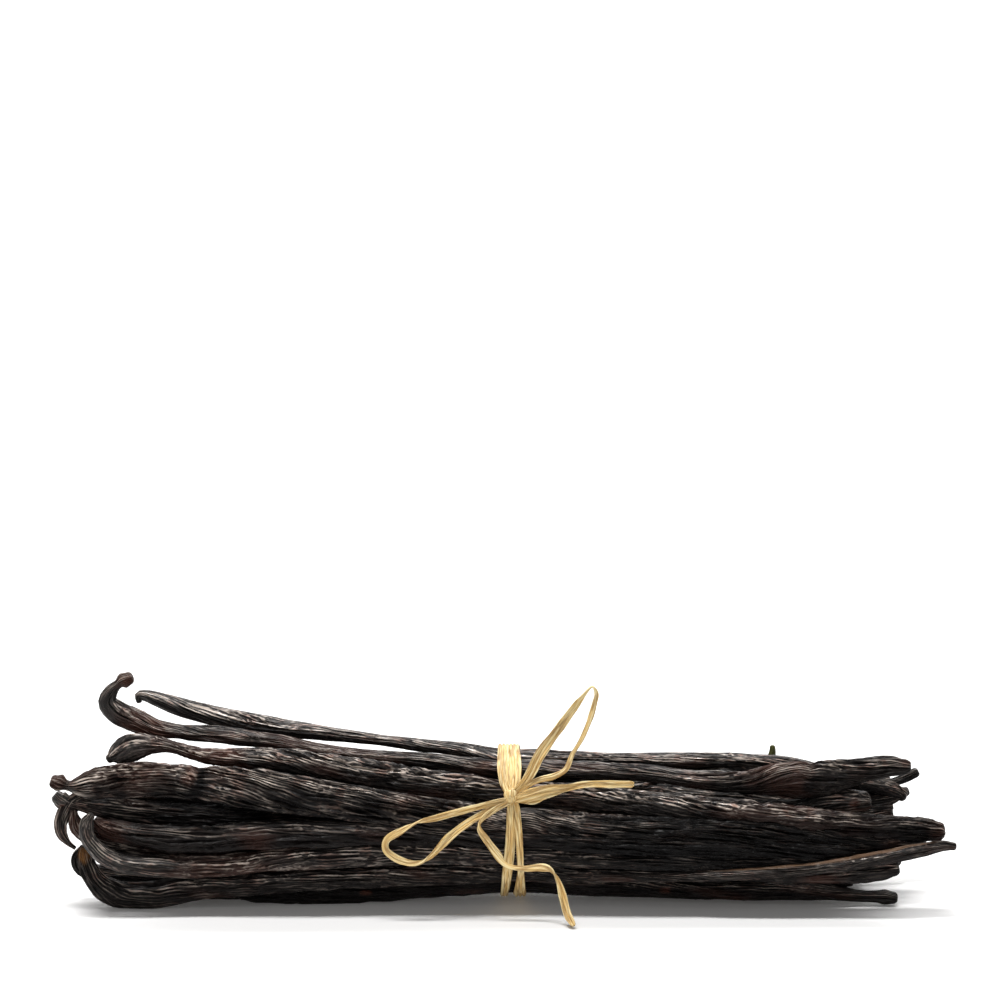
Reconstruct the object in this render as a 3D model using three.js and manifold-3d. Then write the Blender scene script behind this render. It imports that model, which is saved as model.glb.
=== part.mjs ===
// A bundle of cured vanilla pods, tied round its middle with two turns of raffia
// that end in two loops and two loose tails.
//
// Millimetres, +Z up. The pods run along X, the front of the bundle looks along -Y,
// and Z = 0 is the surface that it lies on. Routes are written in the tie's own frame,
// whose origin lies on that surface, straight under the middle of the tie.

import * as THREE from "three";
import * as BufferGeometryUtils from "three/addons/utils/BufferGeometryUtils.js";
import Module from "manifold-3d";

const wasm = await Module();
wasm.setup();

// ---- Driving sizes ----

// Where the tie stands, so that the origin is under the middle of the whole part
const TIE_X = 3.06;
const TIE_Y = 3.7;

// Outline of the squeezed bundle at the tie: half depth, half height, height of its centre
const WAIST = { halfDepth: 19.5, halfHeight: 15.2, centre: 16.5 };
// The pods run straight under the raffia for this far each side of its middle
const WAIST_HALF_LENGTH = 3;

// A pod's section keeps its area: where it looks narrow from the front, it is deep
const POD_SECTION = 23;
const POD_DEEPEST = 1.8;
// Near its ends a pod is rounder, over this length
const POD_END_LENGTH = 14;
const POD_END_DEEPEST = 1.15;
// A pod's closed end stands this share of its width past its last ring
const POD_END_CAP = 0.4;
const POD_SIDES = 7;
const FANNED_POD_SIDES = 6;
// Longest stretch between two rings of a pod
const POD_STEP = 13;

// The packed middle of the bundle, that the pods lie on
const HEART = {
  left: -60, right: 58, sides: 9,
  halfDepth: [6, 11, 14, 16.3, 14, 10, 6], halfHeight: [5, 8.5, 10.5, 12, 10.5, 8, 5],
  centre: [15, 15.5, 16, 16.5, 15.5, 14.5, 13],
};

// Raffia: two turns side by side, narrow at the knot, wide over the top of the bundle and
// apart below. Spread is how far each one's middle is from the knot's.
const TURNS = {
  gap: 0.35, thickness: 0.7, steps: 30, topAngle: 85, wideReach: 75, openingAngle: 28,
  atKnot: { width: 1.5, spread: 0.3 },
  overTop: { width: 2.5, spread: 1.15 },
  below: { width: 1.8, spread: 1.6 },
};
const KNOT = {
  x: -0.9, angle: 152, halfWidth: 1.7, halfDepth: 1.8, halfHeight: 2.1, standOff: 1.9,
  sides: 9, rows: 6,
};
const RIBBON_THICKNESS = 0.6;
const RIBBON_STEP = 4;
// Room kept between the raffia and the pods
const CLEARANCE = 0.3;

// A block under the bundle that cuts its lowest pods flat
const GROUND_SIDE = 300;

const DEGREE = Math.PI / 180;

// ---- Pods that show at the front ----
// angle is the pod's place round the waist, in degrees from the back over the top,
// inset how far under the outermost layer it lies, and width its width there.
// Each route point is x, y, z and the width of the pod seen from the front.

const SHOWN_PODS = [
  {
    name: "straight pod on top", angle: 91, inset: 0, width: 3.6,
    left: [
      [-79.5, 3, 41.6, 1.6], [-80, 3, 43, 2.6], [-75, 3, 42, 3], [-66.5, 3, 39, 3.6],
      [-58, 3, 37, 4], [-47.5, 2, 35.5, 3.8], [-37, 2, 34, 3], [-13.5, 1, 31, 3],
    ],
    right: [
      [26.5, 1, 29.5, 2.8], [47.5, 2, 29, 3], [58.5, 2, 28.5, 3.2], [69, 2, 26, 3.4],
      [77.5, 1, 24, 3.2], [85, 1, 26.5, 2],
    ],
  },
  {
    name: "crooked pod", angle: 112, inset: 0, width: 3.8,
    left: [
      [-81, -5, 47.4, 3.2], [-83.5, -5, 46.5, 2.2], [-85.5, -5, 45, 3], [-86, -5, 42.5, 3.8],
      [-85, -5, 40, 4.4], [-81, -6, 38, 4.6], [-76, -6, 37, 3.4], [-55.5, -7, 34.5, 3.2],
      [-24, -7, 30, 2.8],
    ],
    right: [
      [28, -8, 27.5, 3.4], [40.5, -9, 26, 3.8], [50, -9, 26, 5], [59.5, -10, 27.5, 7.4],
      [69, -9, 28, 6.6], [75, -9, 29.5, 4.4], [82, -9, 29, 2.2],
    ],
  },
  {
    name: "swollen pod", angle: 139, inset: 0, width: 5.4,
    left: [
      [-83.6, -11, 32, 2.6], [-81.5, -11, 33, 4.6], [-77.5, -11, 34, 5.4], [-72.5, -12, 34.5, 4.2],
      [-67, -12, 33, 2.8], [-57, -13, 32.5, 3.8], [-44.5, -14, 31.5, 4.2], [-24, -14, 28, 5.2],
    ],
    right: [
      [30.5, -15, 22.5, 5], [44, -16, 21.5, 5.2], [59, -16, 20, 4.6], [69.5, -16, 18.5, 4.4],
      [80, -16, 17.5, 4.8], [85, -15, 17.5, 3.4], [88, -15, 17.5, 4.2],
    ],
  },
  {
    name: "broad creased pod", angle: 165, inset: 0, width: 5.4,
    left: [
      [-95.5, -13, 27, 3], [-93, -13, 26.5, 1.8], [-88, -14, 27, 3.8], [-82.5, -15, 28.5, 5.4],
      [-74.5, -16, 29, 6], [-66.5, -18, 28.5, 6.2], [-54.5, -19, 27, 7.6], [-33.5, -19, 24, 7],
      [-13.5, -17.5, 21, 5.6],
    ],
    right: [
      [17.5, -18, 18.5, 5], [38, -18, 17.5, 5.4], [59, -17, 16.5, 5], [75.5, -15, 15.5, 4.2],
      [83.5, -14, 15.5, 2.6],
    ],
  },
  {
    name: "pod below the broad one", angle: 181, inset: 0, width: 4.2,
    left: [
      [-87, -17, 20, 2.6], [-79.5, -17, 17, 3.6], [-65.5, -18, 15.5, 4.6], [-47.5, -19, 17, 5.2],
      [-23.5, -18, 17.5, 4.6],
    ],
    right: [[17.5, -18, 15.5, 4.2], [38.5, -17.5, 14.5, 4.2], [59, -17, 14, 4.2], [80, -14, 13, 2.6]],
  },
  {
    name: "swooping pod", angle: 198, inset: 0, width: 4.4,
    left: [
      [-87.5, -17, 21, 1.8], [-89.5, -17.5, 19, 2.6], [-88.5, -18, 16, 3.2], [-85.5, -18, 14, 3.6],
      [-81.5, -18, 12, 4.4], [-76, -18, 11, 5.2], [-65.5, -17.5, 10, 5], [-47.5, -17, 11.5, 4.6],
      [-23.5, -17, 13, 4.6],
    ],
    right: [[17.5, -17, 12, 4.2], [38.5, -17, 11.5, 4.6], [75.5, -15, 11, 3.8], [89, -14, 11.5, 2.2]],
  },
  {
    name: "pod curled up at its end", angle: 221, inset: 0, width: 4.2,
    left: [
      [-90, -9, 12, 3], [-89.5, -9.5, 9, 3.8], [-88, -10, 6.5, 4.2], [-86, -10, 4.2, 4.8],
      [-82, -10.5, 2, 5], [-76, -11, 2.1, 5.2], [-65.5, -12, 4.5, 4.6], [-40.5, -13, 6.5, 4.2],
    ],
    right: [
      [9.5, -14, 8, 3.2], [31.5, -17, 8, 2], [54.5, -19, 9.5, 1.8], [74.5, -19, 12.5, 1.8],
      [90, -19, 15, 1.4],
    ],
  },
  {
    name: "pod at the foot", angle: 247, inset: 0, width: 4.4,
    left: [[-57, -6, 2.4, 3.8], [-53, -6, 2.3, 5.2], [-39, -6.5, 2.4, 5.6], [-13.5, -6, 4, 4.6]],
    right: [
      [32, -7, 3.6, 4.2], [51, -8, 2.8, 4.2], [60, -8, 2.4, 3.4], [67, -8, 1.6, 2.6],
      [73, -8, 1.2, 2.2], [80, -8, 1.2, 2.8],
    ],
  },
  {
    name: "pod ending in a small knob", angle: 172, inset: 6, width: 4.4,
    left: [
      [-94.5, -11, 23, 3.2], [-92, -11, 22.5, 2], [-83, -11, 20.5, 3.6], [-65.5, -11, 18.5, 4.6],
      [-44.5, -11, 18.5, 5],
    ],
    right: [[38.5, -8, 19, 4.2], [59.5, -8, 20, 4.6], [68, -9, 21.5, 5], [75.5, -10, 22.5, 4.6]],
  },
  {
    name: "pod hanging down at its end", angle: 188, inset: 6, width: 4.2,
    left: [
      [-91.5, -11, 12.8, 0.9], [-93.7, -11, 14, 1.6], [-94.5, -11, 15.8, 3.8], [-93.5, -10.5, 18.5, 4.4],
      [-91, -10, 20, 4.2], [-78.5, -9, 17.5, 3.8], [-52, -9, 16, 4.2],
    ],
    right: [[39, -8, 17, 4.2], [59.5, -8, 17.5, 3.8], [72, -8, 19, 3], [78, -9, 20, 2.6]],
  },
  {
    name: "dark pod behind the curl", angle: 214, inset: 6, width: 3.6,
    left: [
      [-91.5, -5, 11.5, 2], [-92.5, -5, 9, 3], [-91.5, -5, 6.5, 3.4], [-88, -5, 4.5, 3.6],
      [-66, -7, 6, 4.2],
    ],
    right: [[38.5, -13, 9, 3.4], [69.5, -14.5, 8.5, 3.6], [79.5, -15, 9, 2.2]],
  },
  {
    name: "pod ending under the crooked one", angle: 128, inset: 6, width: 3.8,
    left: [[-70, -2, 26, 3], [-44, -3, 26.5, 4.2]],
    right: [[39, 0, 23, 3.8], [60, -2, 24, 3.8], [70.5, -3, 25, 3.4], [82.5, -3, 22.5, 2.8]],
  },
  {
    name: "thin pod with a green tip", angle: 72, inset: 1, width: 3.4,
    left: [[-66, 12, 24, 2.8], [-34, 9, 25, 3.6]],
    right: [[39.5, 9, 27, 2.6], [51.5, 9, 27.6, 2.2], [54.6, 9, 28.6, 1.7], [55, 9, 30.4, 0.9]],
  },
  {
    name: "pod with a stub at the foot", angle: 236, inset: 5, width: 3.4,
    left: [[-68, -3, 4, 3], [-36, -4, 5.5, 4]],
    right: [[40, -4, 5, 3.6], [66.5, -6, 4.5, 2.4], [70.5, -7, 4.5, 1.4]],
  },
];

// ---- Pods at the back and in the middle, worked out from a rule ----
// Their ends fan out round two ellipses; the seeded draws make them uneven.

const OUTER_FAN = {
  angles: [268, 288, 308, 327, 345, 2, 19, 36, 54], inset: 0, width: 5, seed: 7,
  left: { reach: 84, halfDepth: 18, halfHeight: 12.5, centre: 12.5 },
  right: { reach: 82, halfDepth: 16.5, halfHeight: 11, centre: 11.5 },
  reachSpread: 8, placeSpread: 2.2, widthSpread: 1, curlSpread: 5, pressed: 0.42,
};
const INNER_FAN = {
  ...OUTER_FAN, angles: [285, 325, 5, 45, 100], inset: 6, seed: 21,
  left: { reach: 82, halfDepth: 11, halfHeight: 7, centre: 14 },
  right: { reach: 79, halfDepth: 10, halfHeight: 6, centre: 13.5 },
};
const MIDDLE_FAN = {
  ...OUTER_FAN, angles: [20, 140, 255], inset: 11, seed: 5,
  left: { reach: 80, halfDepth: 5, halfHeight: 4, centre: 14 },
  right: { reach: 76, halfDepth: 5, halfHeight: 4, centre: 13.5 },
};

// Where such a pod has its rings, as shares of its reach, each with its share of the end's
// curl and of the pod's width
const FAN_RINGS = [[1, 1, 0.5], [0.965, 0.55, 0.62], [0.88, 0, 0.78], [0.62, 0, 1], [0.32, 0, 1.05]];
// A fanned pod has reached its place in the fan a little before its end
const FAN_HASTE = 1.15;

// ---- Raffia ribbons: x, y, z and the ribbon's width ----

const RIBBONS = [
  {
    name: "left loop",
    route: [
      [-1.5, -18.8, 24.6, 1.2], [-5, -20.8, 24.3, 1.4], [-15.5, -22.6, 22, 1.4], [-20.5, -23, 20.6, 1.4],
      [-24, -23.2, 18.6, 1.4], [-26.2, -23.2, 17, 1.2], [-26.2, -23.2, 15.2, 1.2], [-24.5, -23.2, 13.4, 1.2],
      [-21.5, -23.2, 12.4, 1.4], [-19, -23, 12.7, 1.4], [-17, -22.8, 14, 1.4], [-13.5, -22.6, 17.5, 1.4],
      [-9.5, -22, 20.5, 1.2], [-5, -20.6, 22.8, 1.2], [-1.5, -18.8, 24, 1.2],
    ],
  },
  {
    name: "front tail",
    route: [
      [-1.2, -18.8, 24.2, 1.2], [-4.8, -21.8, 22.8, 1.2], [-7.1, -23, 21, 1.2], [-7.2, -23.3, 19.4, 1.2],
      [-5.5, -23.2, 17, 1.2], [-3.5, -23.2, 14, 1.2], [-1.5, -23.2, 12, 1.2], [2, -23.3, 11.6, 1.2],
      [5.5, -23.6, 11.9, 1.2], [7.5, -24, 11, 1.2], [8.8, -24.6, 8.8, 1.4], [9.8, -25.2, 5.5, 1.4],
      [10.7, -26.3, 2.6, 1.2], [12, -29.5, 0.7, 1.1],
    ],
  },
  {
    name: "right loop",
    route: [
      [-0.9, -18.8, 25.4, 1.2], [2.5, -19.8, 29.5, 1.6], [5, -19.2, 34, 1.8], [7.5, -18, 37.5, 1.8],
      [11, -16, 42, 1.6], [13.5, -14.4, 45, 1.4], [16, -13.4, 47, 1], [17, -13.4, 46, 0.9],
      [16.5, -13.8, 43.5, 0.9], [14, -15.6, 37, 0.9], [12, -17, 34, 0.9], [10.5, -18.4, 31, 1],
      [8, -19.4, 29.6, 1], [5, -19.8, 29, 1], [2.2, -19.8, 27.6, 1], [-0.9, -18.8, 25, 1.2],
    ],
  },
  {
    name: "right tail",
    route: [
      [-0.9, -18.8, 24.6, 1.4], [3.5, -20.2, 26, 1.8], [7, -20.4, 27, 1.8], [10.5, -20.4, 27.5, 1.2],
      [14, -20.2, 28, 1], [18.5, -19.8, 28.1, 1.2], [24.5, -19.5, 28, 1.4],
    ],
  },
];

// ---- Tools for shapes ----

// The same draws every time, from 0 to 1
function seededDraws(seed) {
  let state = seed;
  return () => {
    state = (state * 16807) % 2147483647;
    return state / 2147483647;
  };
}

const mix = (a, b, share) => a + (b - a) * share;
const smooth = (share) => {
  const held = Math.min(Math.max(share, 0), 1);
  return held * held * (3 - 2 * held);
};

// A closed geometry as a manifold solid, whichever way its faces were wound
function solid(geometry) {
  geometry.deleteAttribute("normal");
  geometry.deleteAttribute("uv");
  const merged = BufferGeometryUtils.mergeVertices(geometry);
  const places = merged.attributes.position;
  const corners = merged.index.array;
  const a = new THREE.Vector3();
  const b = new THREE.Vector3();
  const c = new THREE.Vector3();
  const triangles = [];
  let volume = 0;
  for (let i = 0; i < corners.length; i += 3) {
    const [p, q, r] = [corners[i], corners[i + 1], corners[i + 2]];
    if (p === q || q === r || r === p) continue;
    triangles.push([p, q, r]);
    a.fromBufferAttribute(places, p);
    b.fromBufferAttribute(places, q);
    c.fromBufferAttribute(places, r);
    volume += a.dot(b.cross(c));
  }
  if (volume < 0) triangles.forEach((triangle) => triangle.reverse());
  return new wasm.Manifold(new wasm.Mesh({
    numProp: 3,
    vertProperties: new Float32Array(places.array),
    triVerts: new Uint32Array(triangles.flat()),
  }));
}

const joined = (solids) => solids.reduce((whole, piece) => whole.add(piece));

// The one large body of a solid: loose scraps are dropped and sealed hollows filled
function mainBody(whole) {
  return whole.decompose().reduce((best, body) => (body.volume() > best.volume() ? body : best));
}

function geometryOf(whole) {
  const mesh = whole.getMesh();
  const geometry = new THREE.BufferGeometry();
  geometry.setAttribute("position", new THREE.BufferAttribute(mesh.vertProperties, 3));
  geometry.setIndex(new THREE.BufferAttribute(mesh.triVerts, 1));
  return geometry;
}

// Rings along a smooth route: centre, the two directions of the section, width and
// distance from the start. The section starts out facing front and back, turns with the
// route and never spins about it.
function ringsAlong(route, longestStep) {
  const centres = route.map(([x, y, z]) => new THREE.Vector3(x, y, z));
  const curve = new THREE.CatmullRomCurve3(centres, false, "centripetal");
  const spans = centres.length - 1;
  const rings = [];
  const face = new THREE.Vector3(0, 1, 0);
  let travelled = 0;
  const addRing = (span, share) => {
    const along = (span + share) / spans;
    const centre = curve.getPoint(along);
    const tangent = curve.getTangent(along);
    face.addScaledVector(tangent, -face.dot(tangent)).normalize();
    const side = new THREE.Vector3().crossVectors(tangent, face);
    if (rings.length > 0) travelled += centre.distanceTo(rings.at(-1).centre);
    const next = Math.min(span + 1, spans);
    const width = mix(route[span][3], route[next][3], share);
    rings.push({ centre, tangent, side, face: face.clone(), width, travelled });
  };
  for (let span = 0; span < spans; span += 1) {
    const parts = Math.max(1, Math.round(centres[span].distanceTo(centres[span + 1]) / longestStep));
    for (let part = 0; part < parts; part += 1) addRing(span, part / parts);
  }
  addRing(spans - 1, 1);
  return rings;
}

// ---- Pods ----

// A point of the waist's outline and its outward direction, in the YZ plane
function waistAt(angle, outset) {
  const turn = angle * DEGREE;
  const outward = new THREE.Vector3(0, Math.cos(turn) / WAIST.halfDepth, Math.sin(turn) / WAIST.halfHeight);
  outward.normalize();
  const point = new THREE.Vector3(
    0, WAIST.halfDepth * Math.cos(turn), WAIST.centre + WAIST.halfHeight * Math.sin(turn),
  );
  return { point: point.addScaledVector(outward, outset), outward };
}

const podDepth = (width, fromEnd) => {
  const deepest = mix(POD_END_DEEPEST, POD_DEEPEST, smooth(fromEnd / POD_END_LENGTH));
  return Math.min(POD_SECTION / width, deepest * width);
};

// The whole route of a pod, through its place at the waist, where it touches the raffia
function podRoute({ angle, inset, width, left, right }) {
  const depth = podDepth(width, POD_END_LENGTH);
  const { outward } = waistAt(angle, 0);
  const reach = Math.hypot(outward.y * depth, outward.z * width) / 2;
  const { point } = waistAt(angle, -reach - inset);
  const waist = [-WAIST_HALF_LENGTH, WAIST_HALF_LENGTH].map((x) => [x, point.y, point.z, width]);
  return [...left, ...waist, ...right];
}

function podSolid(pod, sides) {
  const rings = ringsAlong(podRoute(pod), POD_STEP);
  const length = rings.at(-1).travelled;
  const profile = [new THREE.Vector2(0, 0)];
  rings.forEach((ring, i) => profile.push(new THREE.Vector2(1, i + 1)));
  profile.push(new THREE.Vector2(0, rings.length + 1));
  const geometry = new THREE.LatheGeometry(profile, sides);
  const places = geometry.attributes.position;
  for (let i = 0; i < places.count; i += 1) {
    const station = Math.round(places.getY(i)) - 1;
    const ring = rings[Math.min(Math.max(station, 0), rings.length - 1)];
    const depth = podDepth(ring.width, Math.min(ring.travelled, length - ring.travelled));
    const place = ring.centre.clone();
    place.addScaledVector(ring.side, places.getX(i) * ring.width / 2);
    place.addScaledVector(ring.face, places.getZ(i) * depth / 2);
    if (station < 0) place.addScaledVector(ring.tangent, -POD_END_CAP * ring.width);
    if (station >= rings.length) place.addScaledVector(ring.tangent, POD_END_CAP * ring.width);
    places.setXYZ(i, place.x, place.y, place.z);
  }
  return solid(geometry);
}

// Pods that fan out evenly from the waist, each a little different
function fannedPods(rule) {
  const draw = seededDraws(rule.seed);
  const spread = (amount) => (draw() * 2 - 1) * amount;
  return rule.angles.map((angle) => {
    const width = rule.width + spread(rule.widthSpread);
    const waist = waistAt(angle, -rule.inset - width / 2).point;
    const half = (side, end) => {
      const reach = end.reach + spread(rule.reachSpread);
      const turn = angle * DEGREE;
      const y = end.halfDepth * Math.cos(turn) + spread(rule.placeSpread);
      const z = end.centre + end.halfHeight * Math.sin(turn) + spread(rule.placeSpread);
      const curl = spread(rule.curlSpread);
      return FAN_RINGS.map(([share, curled, size]) => {
        const fanned = smooth(share * FAN_HASTE);
        const height = mix(waist.z, z, fanned) + curl * curled;
        const lowest = rule.pressed * width * size;
        return [side * reach * share, mix(waist.y, y, fanned), Math.max(height, lowest), width * size];
      });
    };
    const left = half(-1, rule.left);
    const right = half(1, rule.right).reverse();
    return { angle, inset: rule.inset, width, left, right };
  });
}

function heartSolid() {
  const last = HEART.centre.length - 1;
  const profile = [new THREE.Vector2(0, 0)];
  HEART.centre.forEach((height, i) => profile.push(new THREE.Vector2(1, i)));
  profile.push(new THREE.Vector2(0, last));
  const geometry = new THREE.LatheGeometry(profile, HEART.sides);
  const places = geometry.attributes.position;
  for (let i = 0; i < places.count; i += 1) {
    const station = Math.round(places.getY(i));
    places.setXYZ(
      i,
      mix(HEART.left, HEART.right, station / last),
      places.getX(i) * HEART.halfDepth[station],
      HEART.centre[station] + places.getZ(i) * HEART.halfHeight[station],
    );
  }
  return solid(geometry);
}

// Everything under the surface that the bundle lies on
function underground() {
  const geometry = new THREE.BoxGeometry(GROUND_SIDE, GROUND_SIDE, GROUND_SIDE);
  geometry.translate(0, 0, -GROUND_SIDE / 2);
  return solid(geometry);
}

// ---- Raffia ----

// The turn starts as a plain square ring with these two radii, and is then laid round the waist
const INNER_FACE = 1;
const OUTER_FACE = 2;

const degreesApart = (a, b) => Math.abs(THREE.MathUtils.euclideanModulo(a - b + 180, 360) - 180);

// One turn round the waist, on the left (-1) or the right (1) of the knot
function turnSolid(side, extra) {
  const corners = [[INNER_FACE, -0.5], [OUTER_FACE, -0.5], [OUTER_FACE, 0.5], [INNER_FACE, 0.5]];
  const profile = [...corners, corners[0]].map(([radius, along]) => new THREE.Vector2(radius, along));
  const geometry = new THREE.LatheGeometry(profile, TURNS.steps);
  const places = geometry.attributes.position;
  for (let i = 0; i < places.count; i += 1) {
    const [across, along, deep] = [places.getX(i), places.getY(i), places.getZ(i)];
    const angle = Math.atan2(across, deep) / DEGREE;
    const opened = smooth(degreesApart(angle, KNOT.angle) / TURNS.openingAngle);
    const lowered = smooth((degreesApart(angle, TURNS.topAngle) - TURNS.wideReach) / TURNS.openingAngle);
    const full = (size) => mix(TURNS.overTop[size], TURNS.below[size], lowered);
    const width = mix(TURNS.atKnot.width, full("width"), opened) + 2 * extra;
    const middle = KNOT.x + side * mix(TURNS.atKnot.spread, full("spread"), opened);
    const outer = Math.hypot(across, deep) > (INNER_FACE + OUTER_FACE) / 2;
    const { point } = waistAt(angle, TURNS.gap + (outer ? TURNS.thickness + extra : -extra));
    places.setXYZ(i, middle + along * width, point.y, point.z);
  }
  return solid(geometry);
}

function knotSolid(extra) {
  const geometry = new THREE.SphereGeometry(1, KNOT.sides, KNOT.rows);
  geometry.scale(KNOT.halfWidth + extra, KNOT.halfDepth + extra, KNOT.halfHeight + extra);
  const { point } = waistAt(KNOT.angle, TURNS.gap + KNOT.standOff);
  geometry.translate(KNOT.x, point.y, point.z);
  return solid(geometry);
}

function ribbonSolid({ route }, extra) {
  const rings = ringsAlong(route, RIBBON_STEP);
  const geometry = new THREE.BoxGeometry(1, 1, 1, 1, 1, rings.length - 1);
  const places = geometry.attributes.position;
  for (let i = 0; i < places.count; i += 1) {
    const share = places.getZ(i) + 0.5;
    const ring = rings[Math.round(share * (rings.length - 1))];
    const place = ring.centre.clone();
    place.addScaledVector(ring.side, places.getX(i) * (ring.width + 2 * extra));
    place.addScaledVector(ring.face, places.getY(i) * (RIBBON_THICKNESS + 2 * extra));
    places.setXYZ(i, place.x, place.y, place.z);
  }
  return solid(geometry);
}

// extra thickens every piece all round, to cut its room out of the pods
function raffiaSolid(extra) {
  return joined([
    turnSolid(-1, extra), turnSolid(1, extra), knotSolid(extra),
    ...RIBBONS.map((ribbon) => ribbonSolid(ribbon, extra)),
  ]);
}

// ---- The part ----

function podsSolid() {
  const shown = SHOWN_PODS.map((pod) => podSolid(pod, POD_SIDES));
  const fanned = [OUTER_FAN, INNER_FAN, MIDDLE_FAN].flatMap(fannedPods);
  const others = fanned.map((pod) => podSolid(pod, FANNED_POD_SIDES));
  const whole = joined([heartSolid(), ...shown, ...others]);
  return mainBody(whole.subtract(underground()).subtract(raffiaSolid(CLEARANCE)));
}

function piece(name, whole, material) {
  const mesh = new THREE.Mesh(geometryOf(whole), material);
  mesh.name = name;
  return mesh;
}

const podSkin = new THREE.MeshStandardMaterial({ color: 0x2a1d18, roughness: 0.45, metalness: 0 });
const raffiaFibre = new THREE.MeshStandardMaterial({ color: 0xdcc382, roughness: 0.7, metalness: 0 });

const bundle = new THREE.Group();
bundle.add(piece("vanilla_pods", podsSolid(), podSkin));
bundle.add(piece("raffia_tie", mainBody(raffiaSolid(0)), raffiaFibre));
bundle.position.set(TIE_X, TIE_Y, 0);

export default bundle;
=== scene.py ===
"""A bundle of cured vanilla pods, tied round its middle with raffia.

The tables hold millimetres in the tie's own frame: the origin lies on the ground, straight
under the middle of the tie, the pods run along X and the front of the bundle looks along -Y.
in_frame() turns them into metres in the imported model's frame.
"""

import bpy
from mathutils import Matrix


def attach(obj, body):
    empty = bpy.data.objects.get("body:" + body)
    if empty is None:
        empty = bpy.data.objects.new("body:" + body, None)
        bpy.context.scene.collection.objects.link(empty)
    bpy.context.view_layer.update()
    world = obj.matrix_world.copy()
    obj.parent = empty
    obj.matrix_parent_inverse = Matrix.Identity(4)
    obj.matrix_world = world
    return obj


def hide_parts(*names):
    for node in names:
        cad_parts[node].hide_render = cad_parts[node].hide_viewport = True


bl_info = {
    "name": "Vanilla pod bundle",
    "version": (1, 0, 0),
    "blender": (4, 5, 0),
    "location": "3D View > Sidebar > Vanilla",
    "description": "Cured vanilla pods tied with raffia, over their packed solids",
    "category": "Add Mesh",
}

from math import cos, hypot, pi, radians, sin

import bmesh
import bpy
import numpy as np
from bpy.props import FloatProperty, FloatVectorProperty, IntProperty, PointerProperty
from bpy.types import Operator, Panel, PropertyGroup
from mathutils import Matrix

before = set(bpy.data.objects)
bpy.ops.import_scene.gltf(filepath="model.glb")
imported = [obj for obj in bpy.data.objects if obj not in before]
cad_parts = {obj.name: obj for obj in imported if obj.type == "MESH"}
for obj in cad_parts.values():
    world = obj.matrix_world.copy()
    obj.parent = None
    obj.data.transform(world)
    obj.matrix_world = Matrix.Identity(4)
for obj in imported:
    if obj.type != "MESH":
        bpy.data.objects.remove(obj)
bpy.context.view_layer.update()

MM = 0.001
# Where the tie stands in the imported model, in mm
TIE = np.array((3.06, 3.7, 0.0))

# ---- Sizes of the solids, in mm ----

WAIST = {"half_depth": 19.5, "half_height": 15.2, "centre": 16.5}
WAIST_HALF_LENGTH = 3.0
# A pod's section keeps its area, up to these depths for its width
POD_SECTION = 23.0
POD_DEEPEST = 1.8
POD_END_LENGTH = 14.0
POD_END_DEEPEST = 1.15
POD_END_CAP = 0.5
# A pod tapers over its last stretch, by a share of its width
POD_END_TAPER = {"reach": 2.2, "share": 0.16}
POD_NARROWEST = 0.5

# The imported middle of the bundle, at even steps from left to right
HEART = {
    "left": -60.0, "right": 58.0,
    "half_depth": (6, 11, 14, 16.3, 14, 10, 6),
    "half_height": (5, 8.5, 10.5, 12, 10.5, 8, 5),
    "centre": (15, 15.5, 16, 16.5, 15.5, 14.5, 13),
}

# ---- Pods that show at the front ----
# angle is the place round the waist in degrees from the back over the top, inset how far
# under the outermost layer the pod lies, and width its width there. A route point is x, y,
# z and the width seen from the front. ridges is how many run side by side round the pod,
# run how far one lasts and depth how high it stands. A slant is x, z, degrees and reach:
# the ridges lean there. A pinch is x, z, reach and the share of the width that is gone. A
# stain is x, z, reach, colour and strength; the black stains are mostly painted shade under
# and between the pods and in creases, with dark skin at a few ends, and they take away the
# painted highlight. red is how much of the skin is reddish. A pod also gives how bright the
# painted highlights on its crest lines are, and flank the share of that which stays on skin
# that doesn't look up. A rim is a painted highlight along a pod's top edge: the x it runs
# from and to, colour and strength.

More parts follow.
